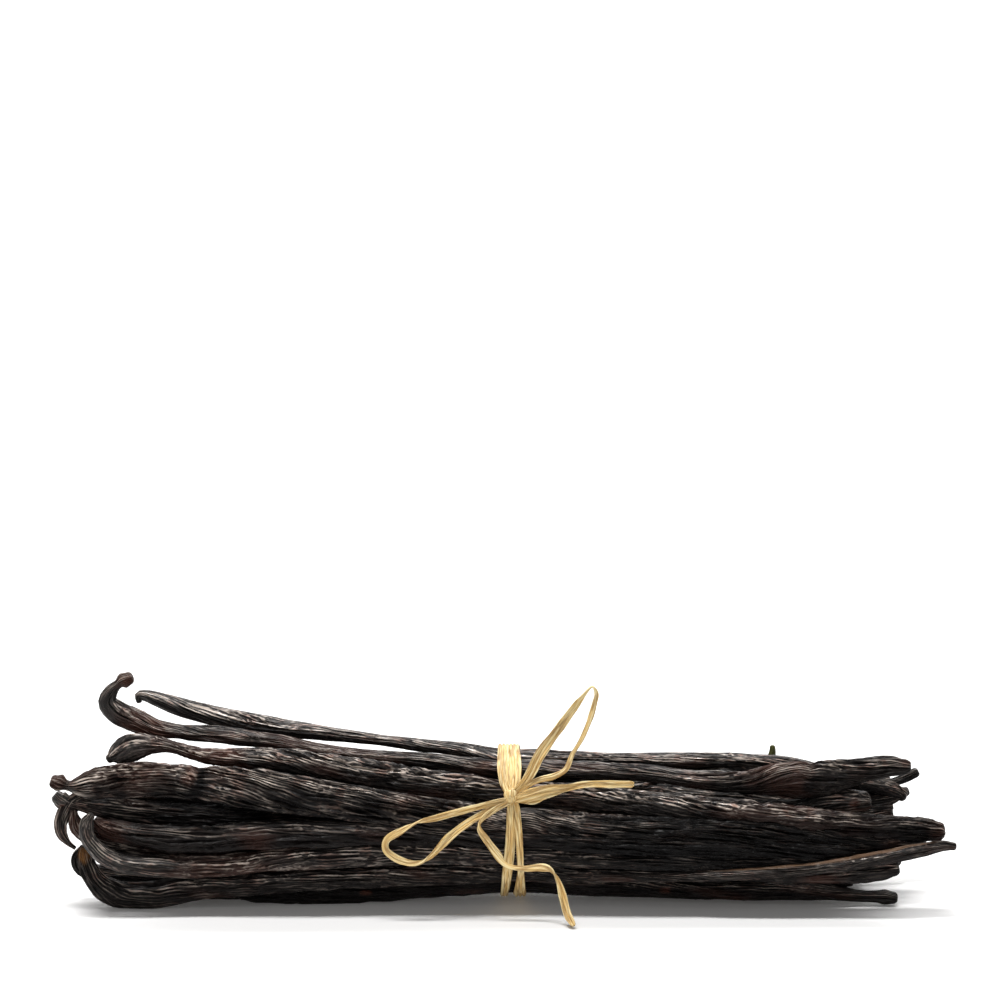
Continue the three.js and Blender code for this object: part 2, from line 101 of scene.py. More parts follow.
UPPER_PODS = (
    {
        "name": "straight pod on top", "painted_highlight": 1.4, "angle": 91, "inset": 0, "width": 3.6,
        "left": (
            (-79.6, 3, 41.4, 1.3), (-79.7, 3, 42.5, 1.8), (-78.1, 3, 42.5, 2.3),
            (-76.1, 3, 41.9, 2.9), (-68, 3, 39.3, 3.8), (-58.2, 3, 37.1, 4), (-49.5, 2, 35.8, 3.6),
            (-41.9, 2, 34.8, 2.9), (-34.3, 2, 33.9, 2.3), (-26.8, 2, 33, 2.1),
            (-19.2, 2, 32, 2.6), (-11.6, 1, 31.4, 2.7),
        ),
        "right": (
            (19.5, 1, 29.3, 2.6), (34.9, 1, 29, 3.2), (50, 1, 29, 2.8), (60.5, 1, 27.9, 2.6),
            (70.9, 1, 24.5, 2.4), (77.2, 1, 23.8, 1.7), (81.5, 1, 24.9, 1.8), (84.6, 1, 26.4, 2.4),
        ),
        "ridges": 18, "run": 22, "depth": 0.2, "red": 0.1,
        "stains": (
            (-79.7, 42, 3, "ash", 0.6), (-72, 41, 9, "ash", 0.12), (82, 25, 7, "shade_and_dark_skin", 0.8),
        ),
    },
    {
        "name": "crooked pod", "painted_highlight": 0.7, "angle": 112, "inset": 0, "width": 3.8,
        "left": (
            (-80.9, -5, 47.5, 2.9), (-81.8, -5, 47.1, 3.3), (-82.9, -5, 46.4, 2.1),
            (-84.5, -5, 44.9, 2.6), (-85.3, -5, 42.8, 3.7), (-84, -5, 40.8, 4.3),
            (-80.9, -5, 39.2, 4.5), (-77.2, -6, 38, 4), (-74.1, -6, 36.9, 3.2),
            (-70.3, -6, 36.5, 2.5), (-67.1, -6.5, 36.2, 2.9), (-61.7, -7, 35.9, 3.2),
            (-57.4, -7, 35.4, 3.2), (-48.9, -7, 34.2, 2.8), (-41.4, -7, 32.9, 2.5),
            (-33.9, -7, 31.8, 2.5), (-26.5, -7, 31.2, 2.6), (-19, -7, 30.7, 2.8),
        ),
        "right": (
            (27.8, -8, 28, 3), (35.7, -9, 27.1, 3.2), (42.8, -9, 26.6, 3.8), (49.3, -9, 26.5, 4.7),
            (55.2, -9.5, 27, 6.3), (59.4, -10, 27, 7.4), (62.7, -10, 27, 7.6),
            (67.6, -9.5, 27.8, 6.5), (72.5, -9, 29, 4.9), (77.3, -9, 29.8, 4.1),
            (81.2, -9, 29.8, 3.6),
        ),
        "ridges": 16, "run": 14, "depth": 0.26, "red": 0.3,
        "slants": ((54, 27, 12, 9), (66, 28, -7, 6)),
        "pinches": ((-82.9, 46.4, 0.8, 0.12), (61.4, 27.3, 1.1, 0.12)),
        "stains": (
            (-81, 47.8, 3, "rust", 0.7), (-77.6, 38.5, 6, "rust", 0.5),
            (-40, 36.4, 14, "rust", 0.35), (56, 29, 7, "rust", 0.3), (61.4, 26, 1.6, "shade_and_dark_skin", 0.9),
            (-84, 43, 5, "ash", 0.35),
        ),
    },
    {
        "name": "swollen pod", "painted_highlight": 1.3, "angle": 139, "inset": 0, "width": 5.4,
        "left": (
            (-84.2, -11, 31.7, 1.9), (-83.2, -11, 32.3, 3.2), (-80.1, -11, 33.7, 5),
            (-77.4, -11, 34.3, 4.3), (-74.7, -11, 34.5, 3.2), (-71.4, -12, 34.3, 2.2),
            (-67.7, -12, 33.3, 2.3), (-64.5, -12, 32.5, 2.8), (-57, -13, 32.3, 3.4),
            (-44.1, -14, 31.4, 4.3), (-24, -14, 28, 5.2),
        ),
        "right": (
            (30.5, -15, 22.5, 5), (44, -16, 21.5, 5.2), (59, -16, 20, 4.6),
            (69.5, -16, 18.8, 4.6), (79.6, -16, 18, 5), (84.5, -15.5, 17.6, 4.8),
            (87.3, -15, 17.3, 4.3),
        ),
        "ridges": 17, "run": 8, "depth": 0.34, "red": 0.25,
        "slants": ((-42, 31, -11, 12), (36, 22, -7, 10)),
        "pinches": ((-65.2, 32.8, 1.2, 0.12), (85.4, 17.5, 0.7, 0.09)),
        "stains": (
            (-62, 32, 6, "rust", 0.6), (-72, 35, 8, "rust", 0.25), (88, 17.6, 3, "rust", 0.5),
            (62, 20, 16, "rust", 0.2), (60, 20, 14, "shade_and_dark_skin", 0.4), (78, 17, 12, "shade_and_dark_skin", 0.75),
            (-80.5, 33.5, 6, "ash", 0.4),
        ),
    },
)

FRONT_PODS = (
    {
        "name": "broad creased pod", "flank": 0.5, "angle": 165, "inset": 0, "width": 5.4,
        "left": (
            (-95.3, -13, 27.1, 3), (-94.7, -13, 26.9, 3.6), (-93.7, -13, 26.6, 2.6),
            (-92.5, -13, 26.3, 1.8), (-90.4, -14, 26.5, 3.4), (-87.8, -14.5, 26.9, 5.3),
            (-83.8, -15, 27.5, 6.5), (-78.5, -16, 28.1, 6.9), (-73.2, -17, 28.3, 6.8),
            (-65.9, -18, 28, 6.5), (-54.5, -19, 27, 7.5), (-33.5, -19, 24, 7),
            (-13.5, -17.5, 21, 5.6),
        ),
        "right": (
            (17.5, -18, 18.5, 5), (38, -18, 17.5, 5.4), (59, -17, 16.5, 5),
            (75.5, -15, 15.5, 4.2), (83.5, -14, 15.5, 2.6),
        ),
        "ridges": 19, "run": 13, "depth": 0.34, "red": 0.3,
        "slants": ((-48, 26, -4, 14), (-78, 29, 6, 8)),
        "pinches": ((-93.4, 26.5, 0.6, 0.14), (-64.6, 28.6, 1.3, 0.2)),
        # The black stains along its lower side and its right half are painted shade, and the three
        # near -65 paint shade into its crease
        "stains": (
            (-66.8, 29, 2, "rust", 0.7), (-64.2, 30, 1.4, "shade_and_dark_skin", 1),
            (-64.6, 28.3, 1.6, "shade_and_dark_skin", 1), (-65.4, 26.6, 1.6, "shade_and_dark_skin", 0.9),
            (-94.5, 27, 2.6, "shade_and_dark_skin", 0.6), (-95, 27.5, 2, "rust", 0.5), (-78, 30, 10, "rust", 0.3),
            (-84, 24.5, 4, "shade_and_dark_skin", 0.8), (-70, 23.5, 6, "shade_and_dark_skin", 0.7), (48, 15.5, 36, "shade_and_dark_skin", 0.95),
            (-77, 23.5, 6, "shade_and_dark_skin", 0.6), (-68, 20, 7, "shade_and_dark_skin", 0.9), (-56, 20.6, 6, "shade_and_dark_skin", 0.9),
            (-44, 21, 7, "shade_and_dark_skin", 0.9), (-30, 19.8, 6, "shade_and_dark_skin", 0.85), (-16, 19, 7, "shade_and_dark_skin", 0.8),
        ),
    },
    {
        "name": "pod below the broad one", "painted_highlight": 0.25, "angle": 181, "inset": 0, "width": 4.2,
        "left": (
            (-86.3, -16, 19, 2.9), (-84.9, -16, 18.1, 3.5), (-80.1, -17, 17.3, 3.9),
            (-71.6, -18, 16.3, 5.1), (-64.1, -18, 16.2, 5), (-56.6, -18.5, 17, 5),
            (-47.5, -19, 17.3, 5.2), (-23.5, -18, 17.5, 4.6),
        ),
        "right": (
            (17.5, -18, 15.5, 4.2), (38.5, -17.5, 14.5, 4.2), (59, -17, 14, 4.2),
            (80, -14, 13, 2.6),
        ),
        "ridges": 15, "run": 18, "depth": 0.3, "red": 0.1,
        "stains": ((-84, 18, 4, "rust", 0.3), (45, 14, 45, "shade_and_dark_skin", 0.9)),
    },
    {
        "name": "swooping pod", "painted_highlight": 0.6, "flank": 0.45, "angle": 198, "inset": 0, "width": 4.4,
        "left": (
            (-87.6, -18, 20.8, 2), (-88.1, -18, 20, 2.7), (-88.4, -18.3, 18.2, 2.8),
            (-88, -18.5, 16.4, 3.1), (-87, -18.5, 14.9, 3.3), (-84.8, -18.5, 12.8, 3.7),
            (-81.1, -18.5, 11.2, 4), (-76.9, -18.5, 10.7, 4.2), (-71.6, -18, 10.3, 4.4),
            (-64.2, -17.5, 10.2, 4.4), (-56.8, -17.5, 10.8, 4.2), (-47.5, -17, 11.8, 4.6),
            (-23.5, -17, 13, 4.6),
        ),
        "right": (
            (17.5, -17, 12, 4.2), (38.5, -17, 11.5, 4.6), (70, -15.5, 11, 4),
            (78.5, -14.5, 11, 2.8),
        ),
        "ridges": 17, "run": 24, "depth": 0.2, "red": 0.1,
        "stains": (
            (-86, 15, 10, "ash", 0.3), (-60, 9, 10, "rust", 0.3), (50, 11, 45, "shade_and_dark_skin", 0.85),
        ),
    },
)

FOOT_PODS = (
    {
        "name": "pod curled up at its end", "painted_highlight": 0.4, "flank": 0.3,
        "angle": 221, "inset": 0, "width": 4.2,
        "left": (
            (-90.3, -9, 12.3, 1.8), (-90.2, -9, 11.2, 2.7), (-89.6, -9.5, 9, 3.4),
            (-88.2, -10, 6.5, 3.9), (-86, -10, 4.2, 4.6), (-82, -10.5, 2.5, 5),
            (-76, -11, 2.7, 5.2), (-65.5, -12, 4.6, 4.7),
            (-40.5, -13, 6.5, 4.2),
        ),
        "right": (
            (9.5, -14, 8, 3.2), (31.5, -17, 8.3, 2.3), (46.4, -19, 9.1, 2.3),
            (62.9, -19, 10.5, 2.5), (73.2, -19, 12.1, 2.7), (83.5, -19, 14.2, 2.6),
            (88.2, -19, 15.1, 1.9), (90.3, -19, 15, 1.7),
        ),
        "ridges": 15, "run": 16, "depth": 0.24, "red": 0.2,
        "stains": ((-90, 11.2, 1.5, "amber", 0.95),),
        # A painted highlight along its top edge
        "rim": (38, 88, "tan", 0.7),
    },
    {
        "name": "pod at the foot", "painted_highlight": 0.2, "angle": 247, "inset": 0, "width": 4.4,
        "left": (
            (-57, -6, 2.4, 3.8), (-53, -6, 2.6, 5.2), (-39, -6.5, 2.7, 5.6), (-13.5, -6, 4, 4.6),
        ),
        "right": (
            (32, -7, 3.6, 4.3), (51, -8, 3.4, 4.3), (59.9, -8, 3.2, 3.8), (67, -8, 2.6, 2.9),
            (72.8, -8, 1.9, 2.2), (76, -8, 1.8, 2.4), (77.8, -8, 1.7, 3), (79.2, -8, 1.6, 2.8),
        ),
        "ridges": 14, "run": 20, "depth": 0.22, "red": 0.15,
        "stains": ((-31.1, 2.9, 0.9, "rust", 0.9), (31.6, 3.6, 0.8, "rust", 0.8)),
    },
    {
        "name": "dark pod behind the curl", "painted_highlight": 0.7, "angle": 214, "inset": 6, "width": 3.6,
        "left": (
            (-91.1, -5, 11.2, 1.5), (-91.8, -5, 10.1, 2.2), (-92, -5, 8.5, 2.7),
            (-91.2, -5, 7.1, 2.9), (-89, -5, 6.4, 3), (-66, -7, 6.4, 4.2),
        ),
        "right": (
            (38.5, -13, 9, 3.4), (68.7, -15, 8.5, 3.7), (75.7, -15.5, 9, 3.6),
            (78.6, -15.5, 9.4, 3),
        ),
        "ridges": 14, "run": 14, "depth": 0.26, "red": 0.3,
    },
    {
        "name": "pod with a stub at the foot", "painted_highlight": 0.7, "angle": 236, "inset": 5, "width": 3.4,
        "left": ((-68, -3, 4, 3), (-36, -4, 5.5, 4)),
        "right": ((40, -4, 5, 3.6), (66.5, -6, 4.5, 2.4), (70.5, -7, 4.5, 1.4)),
        "ridges": 14, "run": 14, "depth": 0.26, "red": 0.2,
    },
)

BEHIND_PODS = (
    {
        "name": "pod ending in a small knob", "painted_highlight": 0.6, "flank": 0.5,
        "angle": 172, "inset": 6, "width": 4.4,
        "left": (
            (-95.1, -11, 23.3, 3), (-94.6, -11, 22.9, 3.7), (-93.5, -11, 22.5, 3),
            (-91.8, -11, 22, 2.1), (-88.5, -11, 21.5, 2.9), (-83.5, -11, 21, 4.2),
            (-76, -11, 20.3, 4.6), (-65.6, -11, 19.5, 4.8), (-44.5, -11, 18.5, 5),
        ),
        "right": (
            (38.5, -8, 19, 4.2), (59.5, -8, 20.6, 4.2), (63.7, -9, 21.6, 4.6), (70, -9, 22.2, 4.9),
            (72.6, -9, 22.3, 4.6),
        ),
        "ridges": 15, "run": 14, "depth": 0.26, "red": 0.5,
        "pinches": ((-93.2, 22.4, 0.6, 0.12), (70.6, 22.2, 0.6, 0.07)),
        "stains": (
            (-95, 23, 3, "ash", 0.8), (-94, 21.5, 1.2, "rust", 0.8), (70.6, 22, 1.3, "rust", 0.7),
            (-62, 20, 15, "shade_and_dark_skin", 0.95), (-35, 19, 15, "shade_and_dark_skin", 0.95), (57, 21, 9, "shade_and_dark_skin", 0.9),
        ),
    },
    {
        "name": "pod hanging down at its end", "painted_highlight": 0.8, "flank": 0.6,
        "angle": 188, "inset": 6, "width": 4.2,
        "left": (
            (-91.7, -12, 13, 0.8), (-93, -12, 14, 1.1), (-94.2, -12, 15.6, 2),
            (-94.6, -12, 17.6, 2.6), (-94.1, -11.5, 19.7, 2.8), (-92.8, -10, 21.4, 3),
            (-89.7, -9, 22.8, 3.6), (-84.5, -8, 23.2, 4.4), (-74.1, -8, 22.4, 4.6),
            (-52, -8, 19, 4.4),
        ),
        "right": ((39, -8, 17, 4.2), (59.5, -8, 17.5, 3.8), (72, -8, 19, 3), (78, -9, 20, 2.6)),
        "ridges": 14, "run": 10, "depth": 0.28, "red": 0.4,
        "stains": ((-64, 21, 15, "shade_and_dark_skin", 0.95), (-35, 19, 15, "shade_and_dark_skin", 0.95)),
    },
    {
        "name": "mottled pod behind the swoop", "painted_highlight": 0.6, "flank": 0.6,
        "angle": 205, "inset": 6, "width": 3.6,
        "left": (
            (-91.6, -13, 20.6, 1.7), (-91.5, -13, 19.3, 2.4), (-90.8, -13, 17.4, 2.8),
            (-88.7, -13, 15.9, 3.2), (-84.2, -13, 14.6, 3.7), (-75.9, -13, 13.6, 4.2),
            (-50, -12.5, 13.5, 4.2),
        ),
        "right": ((30, -10, 12, 3.6), (52, -10, 12, 2.4)),
        "ridges": 14, "run": 9, "depth": 0.28, "red": 0.7,
        "stains": ((-91, 18, 3, "rust", 0.4),),
    },
    {
        "name": "pod ending under the crooked one", "painted_highlight": 0.6,
        "angle": 128, "inset": 6, "width": 3.8,
        "left": ((-70, -2, 26, 3), (-44, -3, 26.5, 4.2)),
        "right": (
            (36, 0, 24.6, 4.6), (47, -1, 25.6, 4.8), (58, -2, 25.2, 4.2), (70.5, -3, 25.4, 3.4),
            (75.8, -3, 24.5, 3.2), (79.6, -3, 23.2, 3.3), (81.4, -3, 22.6, 2.9),
        ),
        "ridges": 15, "run": 10, "depth": 0.28, "red": 0.2,
    },
    {
        "name": "thin pod with a green tip", "painted_highlight": 0.5, "angle": 72, "inset": 1, "width": 3.4,
        "left": ((-66, 12, 24, 2.8), (-34, 9, 25, 3.6)),
        "right": (
            (39.5, 9, 26.8, 2.6), (50.5, 9, 26.6, 2.2), (53.5, 9, 27, 1.9), (54.8, 9, 28.2, 1.6),
            (55.1, 9, 29.5, 1.4), (55.1, 9, 30.4, 1.2),
        ),
        "ridges": 13, "run": 14, "depth": 0.2, "red": 0.1,
        "stains": ((55, 30, 3, "green", 0.9),),
    },
)

# Each piece of these pods: the number of its first pod, which seeds its skin, and its share
# of the columns
FRONT_PIECES = (
    ("pods_upper", UPPER_PODS, 1, 1), ("pods_front", FRONT_PODS, 11, 1),
    ("pods_foot", FOOT_PODS, 21, 5 / 6), ("pods_behind", BEHIND_PODS, 31, 3 / 4),
)

# ---- Pods at the back and in the middle, worked out from a rule ----
# left and right give how far out the tips lie and the oval that they lie on. Each spread is
# the most by which a draw moves a value. pressed is how high a pod's middle lies at least,
# in shares of its width.

OUTER_FAN = {
    "angles": (268, 288, 308, 327, 345, 2, 19, 36, 54), "inset": 0, "width": 5, "seed": 7,
    "left": {"reach": 84, "half_depth": 18, "half_height": 12.5, "centre": 12.5},
    "right": {"reach": 82, "half_depth": 16.5, "half_height": 11, "centre": 11.5},
    "reach_spread": 8, "place_spread": 2.2, "width_spread": 1, "curl_spread": 5,
    "pressed": 0.42,
    # Shares of the reach for pods that end sooner than the rest
    "left_held": {268: 0.8, 288: 0.94, 327: 0.93}, "right_held": {268: 0.78, 288: 0.8, 327: 0.84},
}
INNER_FAN = {
    **OUTER_FAN, "angles": (285, 325, 5, 45, 100), "inset": 6, "seed": 21,
    "left_held": {100: 0.9}, "right_held": {285: 0.92},
    "left": {"reach": 82, "half_depth": 11, "half_height": 7, "centre": 14},
    "right": {"reach": 79, "half_depth": 10, "half_height": 6, "centre": 13.5},
}
MIDDLE_FAN = {
    **OUTER_FAN, "angles": (20, 140, 255), "inset": 11, "seed": 5,
    "left_held": {140: 0.88}, "right_held": {},
    "left": {"reach": 80, "half_depth": 5, "half_height": 4, "centre": 14},
    "right": {"reach": 76, "half_depth": 5, "half_height": 4, "centre": 13.5},
}
# Shares of a fanned pod's reach, of its end's curl and of its width
FAN_RINGS = ((1, 1, 0.5), (0.965, 0.55, 0.62), (0.88, 0, 0.78), (0.62, 0, 1), (0.32, 0, 1.05))
# How much sooner than at its tip a fanned pod has gone over from the waist to the oval
FAN_HASTE = 1.15
# Ridges of a fanned pod, and the strength of its painted highlight
FAN_SKIN = {"depth": 0.27, "painted_highlight": 0.45, "flank": 0.3}
# Each piece of these pods: its fans and the number of its first pod
BACK_PIECES = (
    ("pods_back_outer", (OUTER_FAN,), 41), ("pods_back_inner", (INNER_FAN, MIDDLE_FAN), 61),
)

# ---- Mesh and skin of the pods, in mm ----

POD_ROUTE_STEP = 0.25
# Rings are closer together near an end
POD_END_STEP = {"step": 0.55, "reach": 10}
# A cap's rings, how blunt it is, and the depth and size of the scar in its middle
POD_CAP = {"rings": 10, "bluntness": 0.9, "dent": 0.3, "scar": 0.32}
POD_LOWEST = 0.02
# The most that ridges lean all along a pod, and how far they sway, in degrees
POD_LEAN = {"steady": 2.5, "sway": 3.0, "periods": (9, 16)}

# Relief that follows a pod's ridges. seed is added to the pod's own. height, cells and run
# are for a depth, a number of ridges and a run of 1. patches are the shares of the height
# in the quietest and the roughest skin, and quiet_crest is how much of a crest shows in the
# quietest
BROAD_RIDGES = {
    "seed": 3, "height": 1.4, "cells": 1, "run": 0.9, "patches": (0.55, 1.15), "quiet_crest": 0.7,
}
NARROW_RIDGES = {
    "seed": 4, "height": 0.6, "cells": 1.7, "run": 0.4, "patches": (0.35, 1.2), "quiet_crest": 0.5,
}
FLUTES = {"seed": 2, "height": 0.6, "cells": 6, "run": 2.2}
LUMP_HEIGHT = 0.32
# Drifts laid over a pod: middle, strength, seed past the pod's own, cells round it and run
DRIFTS = {
    "wander": (0, 0.028, 0, 3, 18), "waver": (0, 0.011, 1, 8, 5),
    "patch": (0.55, 0.75, 5, 3, 16), "fine_patch": (0.5, 0.9, 6, 4, 9),
    "lumps": (0, 1, 7, 3, 7), "uneven": (0, 0.06, 8, 2, 18),
    "reddened": (0, 0.9, 9, 3, 14), "greyed": (-0.2, 0.9, 10, 3, 20),
    "ragged": (1, 0.35, 11, 7, 4),
}
# Share of the relief that is left under the tie, and where it is whole again
TIED = {"relief": 0.35, "half_length": 2.5, "fade": 6}
# Relief is drawn for a pod of this width, and scaled within these bounds for others. It
# fades into the tips
RELIEF_WIDTH = 4.0
RELIEF_SCALES = (0.35, 1.1)
RELIEF_FADE = 0.6

# Between two of the fine lines that run along a pod
LINE_SPACING = 0.7
# Radius of the round space that the material reads, and how far apart two pods lie in it
SKIN_RADIUS = 2.4
SKIN_SHIFT = 31.0
# Painted highlight on the crests: on a flank that has none of its own, on skin that looks up,
# and the share lost where it looks straight up. Each rise is where that starts, and how much
# further up it is whole
PAINTED_HIGHLIGHT = {
    "flank": 0.06, "upward": 1.35, "upward_rise": (0.05, 0.5),
    "level_loss": 0.65, "level_rise": (0.62, 0.38),
}
# Most of a colour that shows, and what is taken off a pod's red before its drift
REDDISH = {"strength": 0.55, "passed": 0.35}
GREYISH_STRENGTH = 0.3
# A stain is whole up to a share of its reach, and fades out over another
STAIN = {"whole": 0.5, "fade": 0.8}
# A rim is a painted highlight along a pod's top edge. It starts where the skin looks up by
# this share, is whole an edge further up, and fades in x at its two ends
PAINTED_RIM = {"upward": 0.89, "edge": 0.08, "fade_in": 8, "fade_out": 5}

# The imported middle's own mesh and skin
HEART_GRID = {"rings": 79, "columns": 120}
# Its crests get a weak painted highlight
HEART_SKIN = {"seed": 9001, "radius": 12, "painted_highlight": 0.3, "lines": 90.0}
# Its flutes and fine ridges: how many, and the shares of its size; both wander a little
HEART_FORM = {"flutes": 11, "groove": 0.93, "flute": 0.07, "ridge": 0.008, "wander": 0.01}
# Cells round it and run of the drifts behind them
HEART_DRIFTS = {"wander": (5, 30), "ridges": (70, 12)}

# ---- Raffia ----

KNOT = {"x": -0.9, "angle": 150, "out": 2.2}
# Each strand wound round it: place from the knot's middle, half its width, height and depth,
# tilt in degrees and seed
KNOT_WRAPS = (
    ((0.5, -0.1, 0.1), 0.8, 1.35, 1.35, -12, 11),
    ((-0.45, 0.2, -0.2), 0.75, 1.15, 1.1, -38, 12),
    ((0.1, 0.6, -0.5), 1.2, 0.8, 0.9, 15, 13),
)
# How far the turns stand off the waist's outline
TURN_OUTSET = 0.5
# Each turn: degrees round the waist from the back over the top, middle and width, in mm
LEFT_TURN = (
    (0, -2.3, 2.3), (60, -2.35, 2.5), (90, -2.35, 2.4), (124, -2.4, 2.6), (138, -2.0, 2.2),
    (147, -1.1, 1.3), (156, -0.95, 1.3), (170, -0.85, 1.7), (185, -0.95, 2.0),
    (207, -1.5, 2.05), (240, -2.15, 1.5), (270, -2.3, 1.7), (320, -2.2, 2.2), (360, -2.3, 2.3),
)
RIGHT_TURN = (
    (0, 0.6, 2.3), (60, -0.05, 2.3), (90, -0.25, 2.2), (124, 0.1, 2.7), (138, -0.05, 2.2),
    (147, -0.5, 1.3), (156, 0.35, 1.3), (170, 0.75, 1.4), (185, 0.97, 1.4), (207, 1.25, 1.25),
    (240, 1.05, 2.6), (270, 1.1, 2.3), (320, 0.8, 2.4), (360, 0.6, 2.3),
)
# Table, seed and folds
TURNS = ((LEFT_TURN, 3, 3), (RIGHT_TURN, 4, 3))
# Weights that round off the corners of a turn's table, degree by degree
TURN_BLUR = np.hanning(15) / np.hanning(15).sum()

# x, y, z, width and how far the strand is rolled about itself, in degrees
LEFT_LOOP = (
    (-1.2, -18.8, 24.6, 1.1, 0), (-5, -20.8, 24.3, 1.4, 10), (-10, -21.9, 23.2, 1.4, 15),
    (-15.5, -22.6, 22, 1.5, 20), (-18.5, -22.9, 21.3, 1.6, 40), (-20.5, -23, 20.6, 1.1, 90),
    (-24, -23.2, 18.6, 1.5, 160), (-26.2, -23.2, 17, 1.2, 180), (-26.4, -23.2, 15.2, 1.3, 190),
    (-24.7, -23.2, 13.6, 1.4, 200), (-21.5, -23.2, 12.4, 1.5, 215), (-19, -23, 12.7, 1.3, 260),
    (-17, -22.8, 14, 1.2, 330), (-13.5, -22.6, 17.5, 1.5, 370), (-9.5, -22, 20.5, 1.5, 375),
    (-5, -20.6, 22.8, 1.3, 365), (-1.2, -18.8, 24, 1.0, 360),
)
FRONT_TAIL = (
    (-1.0, -18.8, 24.2, 1.0, 0), (-4.8, -21.8, 22.8, 1.3, 20), (-7.1, -23, 21, 1.3, 40),
    (-7.4, -23.3, 19.4, 1.2, 100), (-5.7, -23.2, 17, 1.3, 160), (-3.5, -23.2, 14, 1.6, 170),
    (-1.5, -23.2, 12, 1.3, 215), (2, -23.3, 11.4, 1.2, 200), (5.5, -23.6, 11.5, 1.5, 180),
    (7.5, -24, 10.8, 1.2, 120), (8.8, -24.6, 8.8, 1.2, 30), (9.8, -25.2, 5.5, 1.7, 10),
    (10.7, -26.3, 2.6, 1.5, 0), (12, -29.5, 0.7, 1.1, 0),
)
RIGHT_LOOP = (
    (-0.7, -18.8, 25.4, 1.0, 0), (2.5, -19.8, 29.5, 1.8, -10), (5, -19.2, 34, 2.3, -15),
    (7.5, -18, 37.5, 2.2, -20), (11, -16, 42, 1.7, -30), (13.5, -14.4, 45, 1.4, -40),
    (16, -13.4, 47.4, 1.1, -90), (17, -13.4, 46, 1.2, -150), (16.5, -13.8, 43.5, 1.1, -170),
    (14, -15.6, 37, 1.0, -185), (12, -17, 34, 0.9, -180), (10.5, -18.4, 31, 0.9, -200),
    (8, -19.4, 29.6, 1.1, -180), (5, -19.8, 29, 1.1, -200), (2.2, -19.8, 27.6, 1.1, -180),
    (-0.7, -18.8, 25, 1.0, -180),
)
RIGHT_TAIL = (
    (-0.7, -18.8, 24.6, 1.2, 0), (1.5, -19.9, 25.4, 2.4, -10), (3.5, -20.3, 26, 3.2, -15),
    (7, -20.5, 27, 2.7, -10), (10.5, -20.4, 27.5, 1.6, 0), (14, -20.2, 28, 1.2, 20),
    (18.5, -19.8, 28.1, 1.3, 10), (24.5, -19.5, 28, 1.5, 0),
)
# Piece, route, seed and folds
BOW = (
    ("raffia_left_loop", LEFT_LOOP, 21, 2), ("raffia_right_loop", RIGHT_LOOP, 22, 3),
    ("raffia_front_tail", FRONT_TAIL, 23, 2), ("raffia_right_tail", RIGHT_TAIL, 24, 3),
)
STRAND_ROUTE_STEP = 0.1
STRAND_LOWEST = 0.15
# A cut end starts at a share of the strand's width, which is whole after this reach
CUT_END = {"reach": 1.2, "share": 0.45}
# In shares of a strand's width: how far its rims curl in, how high its pleats are, and from
# where to where the folds get painted shade
RIM_CURL = 0.16
PLEATS = {"fold": 0.13, "small": 0.012, "rim": 0.06}
TURN_PLEATS = {"fold": 0.09, "ripple": 0.02}
FOLD_SHADE_DEPTH = 0.3
# How far a turn's rims are pressed in
TURN_RIM_PRESS = 0.14
# Waves along a strand, size and mm: of its width, of its roll in degrees, and of its pleats
STRAND_SWELLS = ((0.07, 2.3), (0.05, 0.9))
STRAND_ROLL = (6, 1.7)
PLEAT_SHIFTS = ((0.35, 7.0), (0.2, 3.1))
# A wound strand lies this share further in at its rims, and leans by a share of its height
WRAP = {"rings": 49, "bulge": 0.32, "lean": 0.25}
# How far apart two strands lie in the space that the material reads
FIBRE_SHIFT = 7.3

# ---- Camera, in mm and degrees ----

CAMERA_PLACE = (0.0, -693.5, 162.4)
CAMERA_TILT = (83.597, 0.0, 0.2579)
CAMERA_LENS = 120.0
CAMERA_SENSOR = 36.0

# ---- Floor and lights, in metres ----

# Where the floor starts, where it bends up, the bend's radius and the wall above it
FLOOR = {"half_width": 3.0, "front": -1.6, "back": 0.9, "radius": 0.7, "wall": 1.8}
FLOOR_BEND_STEPS = 16
# Each light: name, place, degrees it is turned about x, y and z, and size
LIGHTS = (
    ("top_light", (-0.08, -0.1, 0.68), (8, -7, 0), (0.42, 0.12)),
    ("front_light", (0.0, -0.9, 0.5), (61, 0, 0), (1.6, 0.6)),
    ("back_light", (0.0, 0.55, 0.5), (-48, 0, 0), (1.0, 0.3)),
    ("wall_light", (0.0, 0.75, 1.5), (38, 0, 0), (2.4, 0.8)),
)

# ---- What a user may change ----


def length_setting(name, description, default):
    return FloatProperty(name=name, description=description, default=default, unit="LENGTH")


def power_setting(name, description, default):
    return FloatProperty(name=name, description=description, default=default, unit="POWER")


def colour_setting(name, description, default):
    return FloatVectorProperty(
        name=name, description=description, default=default, subtype="COLOR", min=0.0, max=1.0,
    )


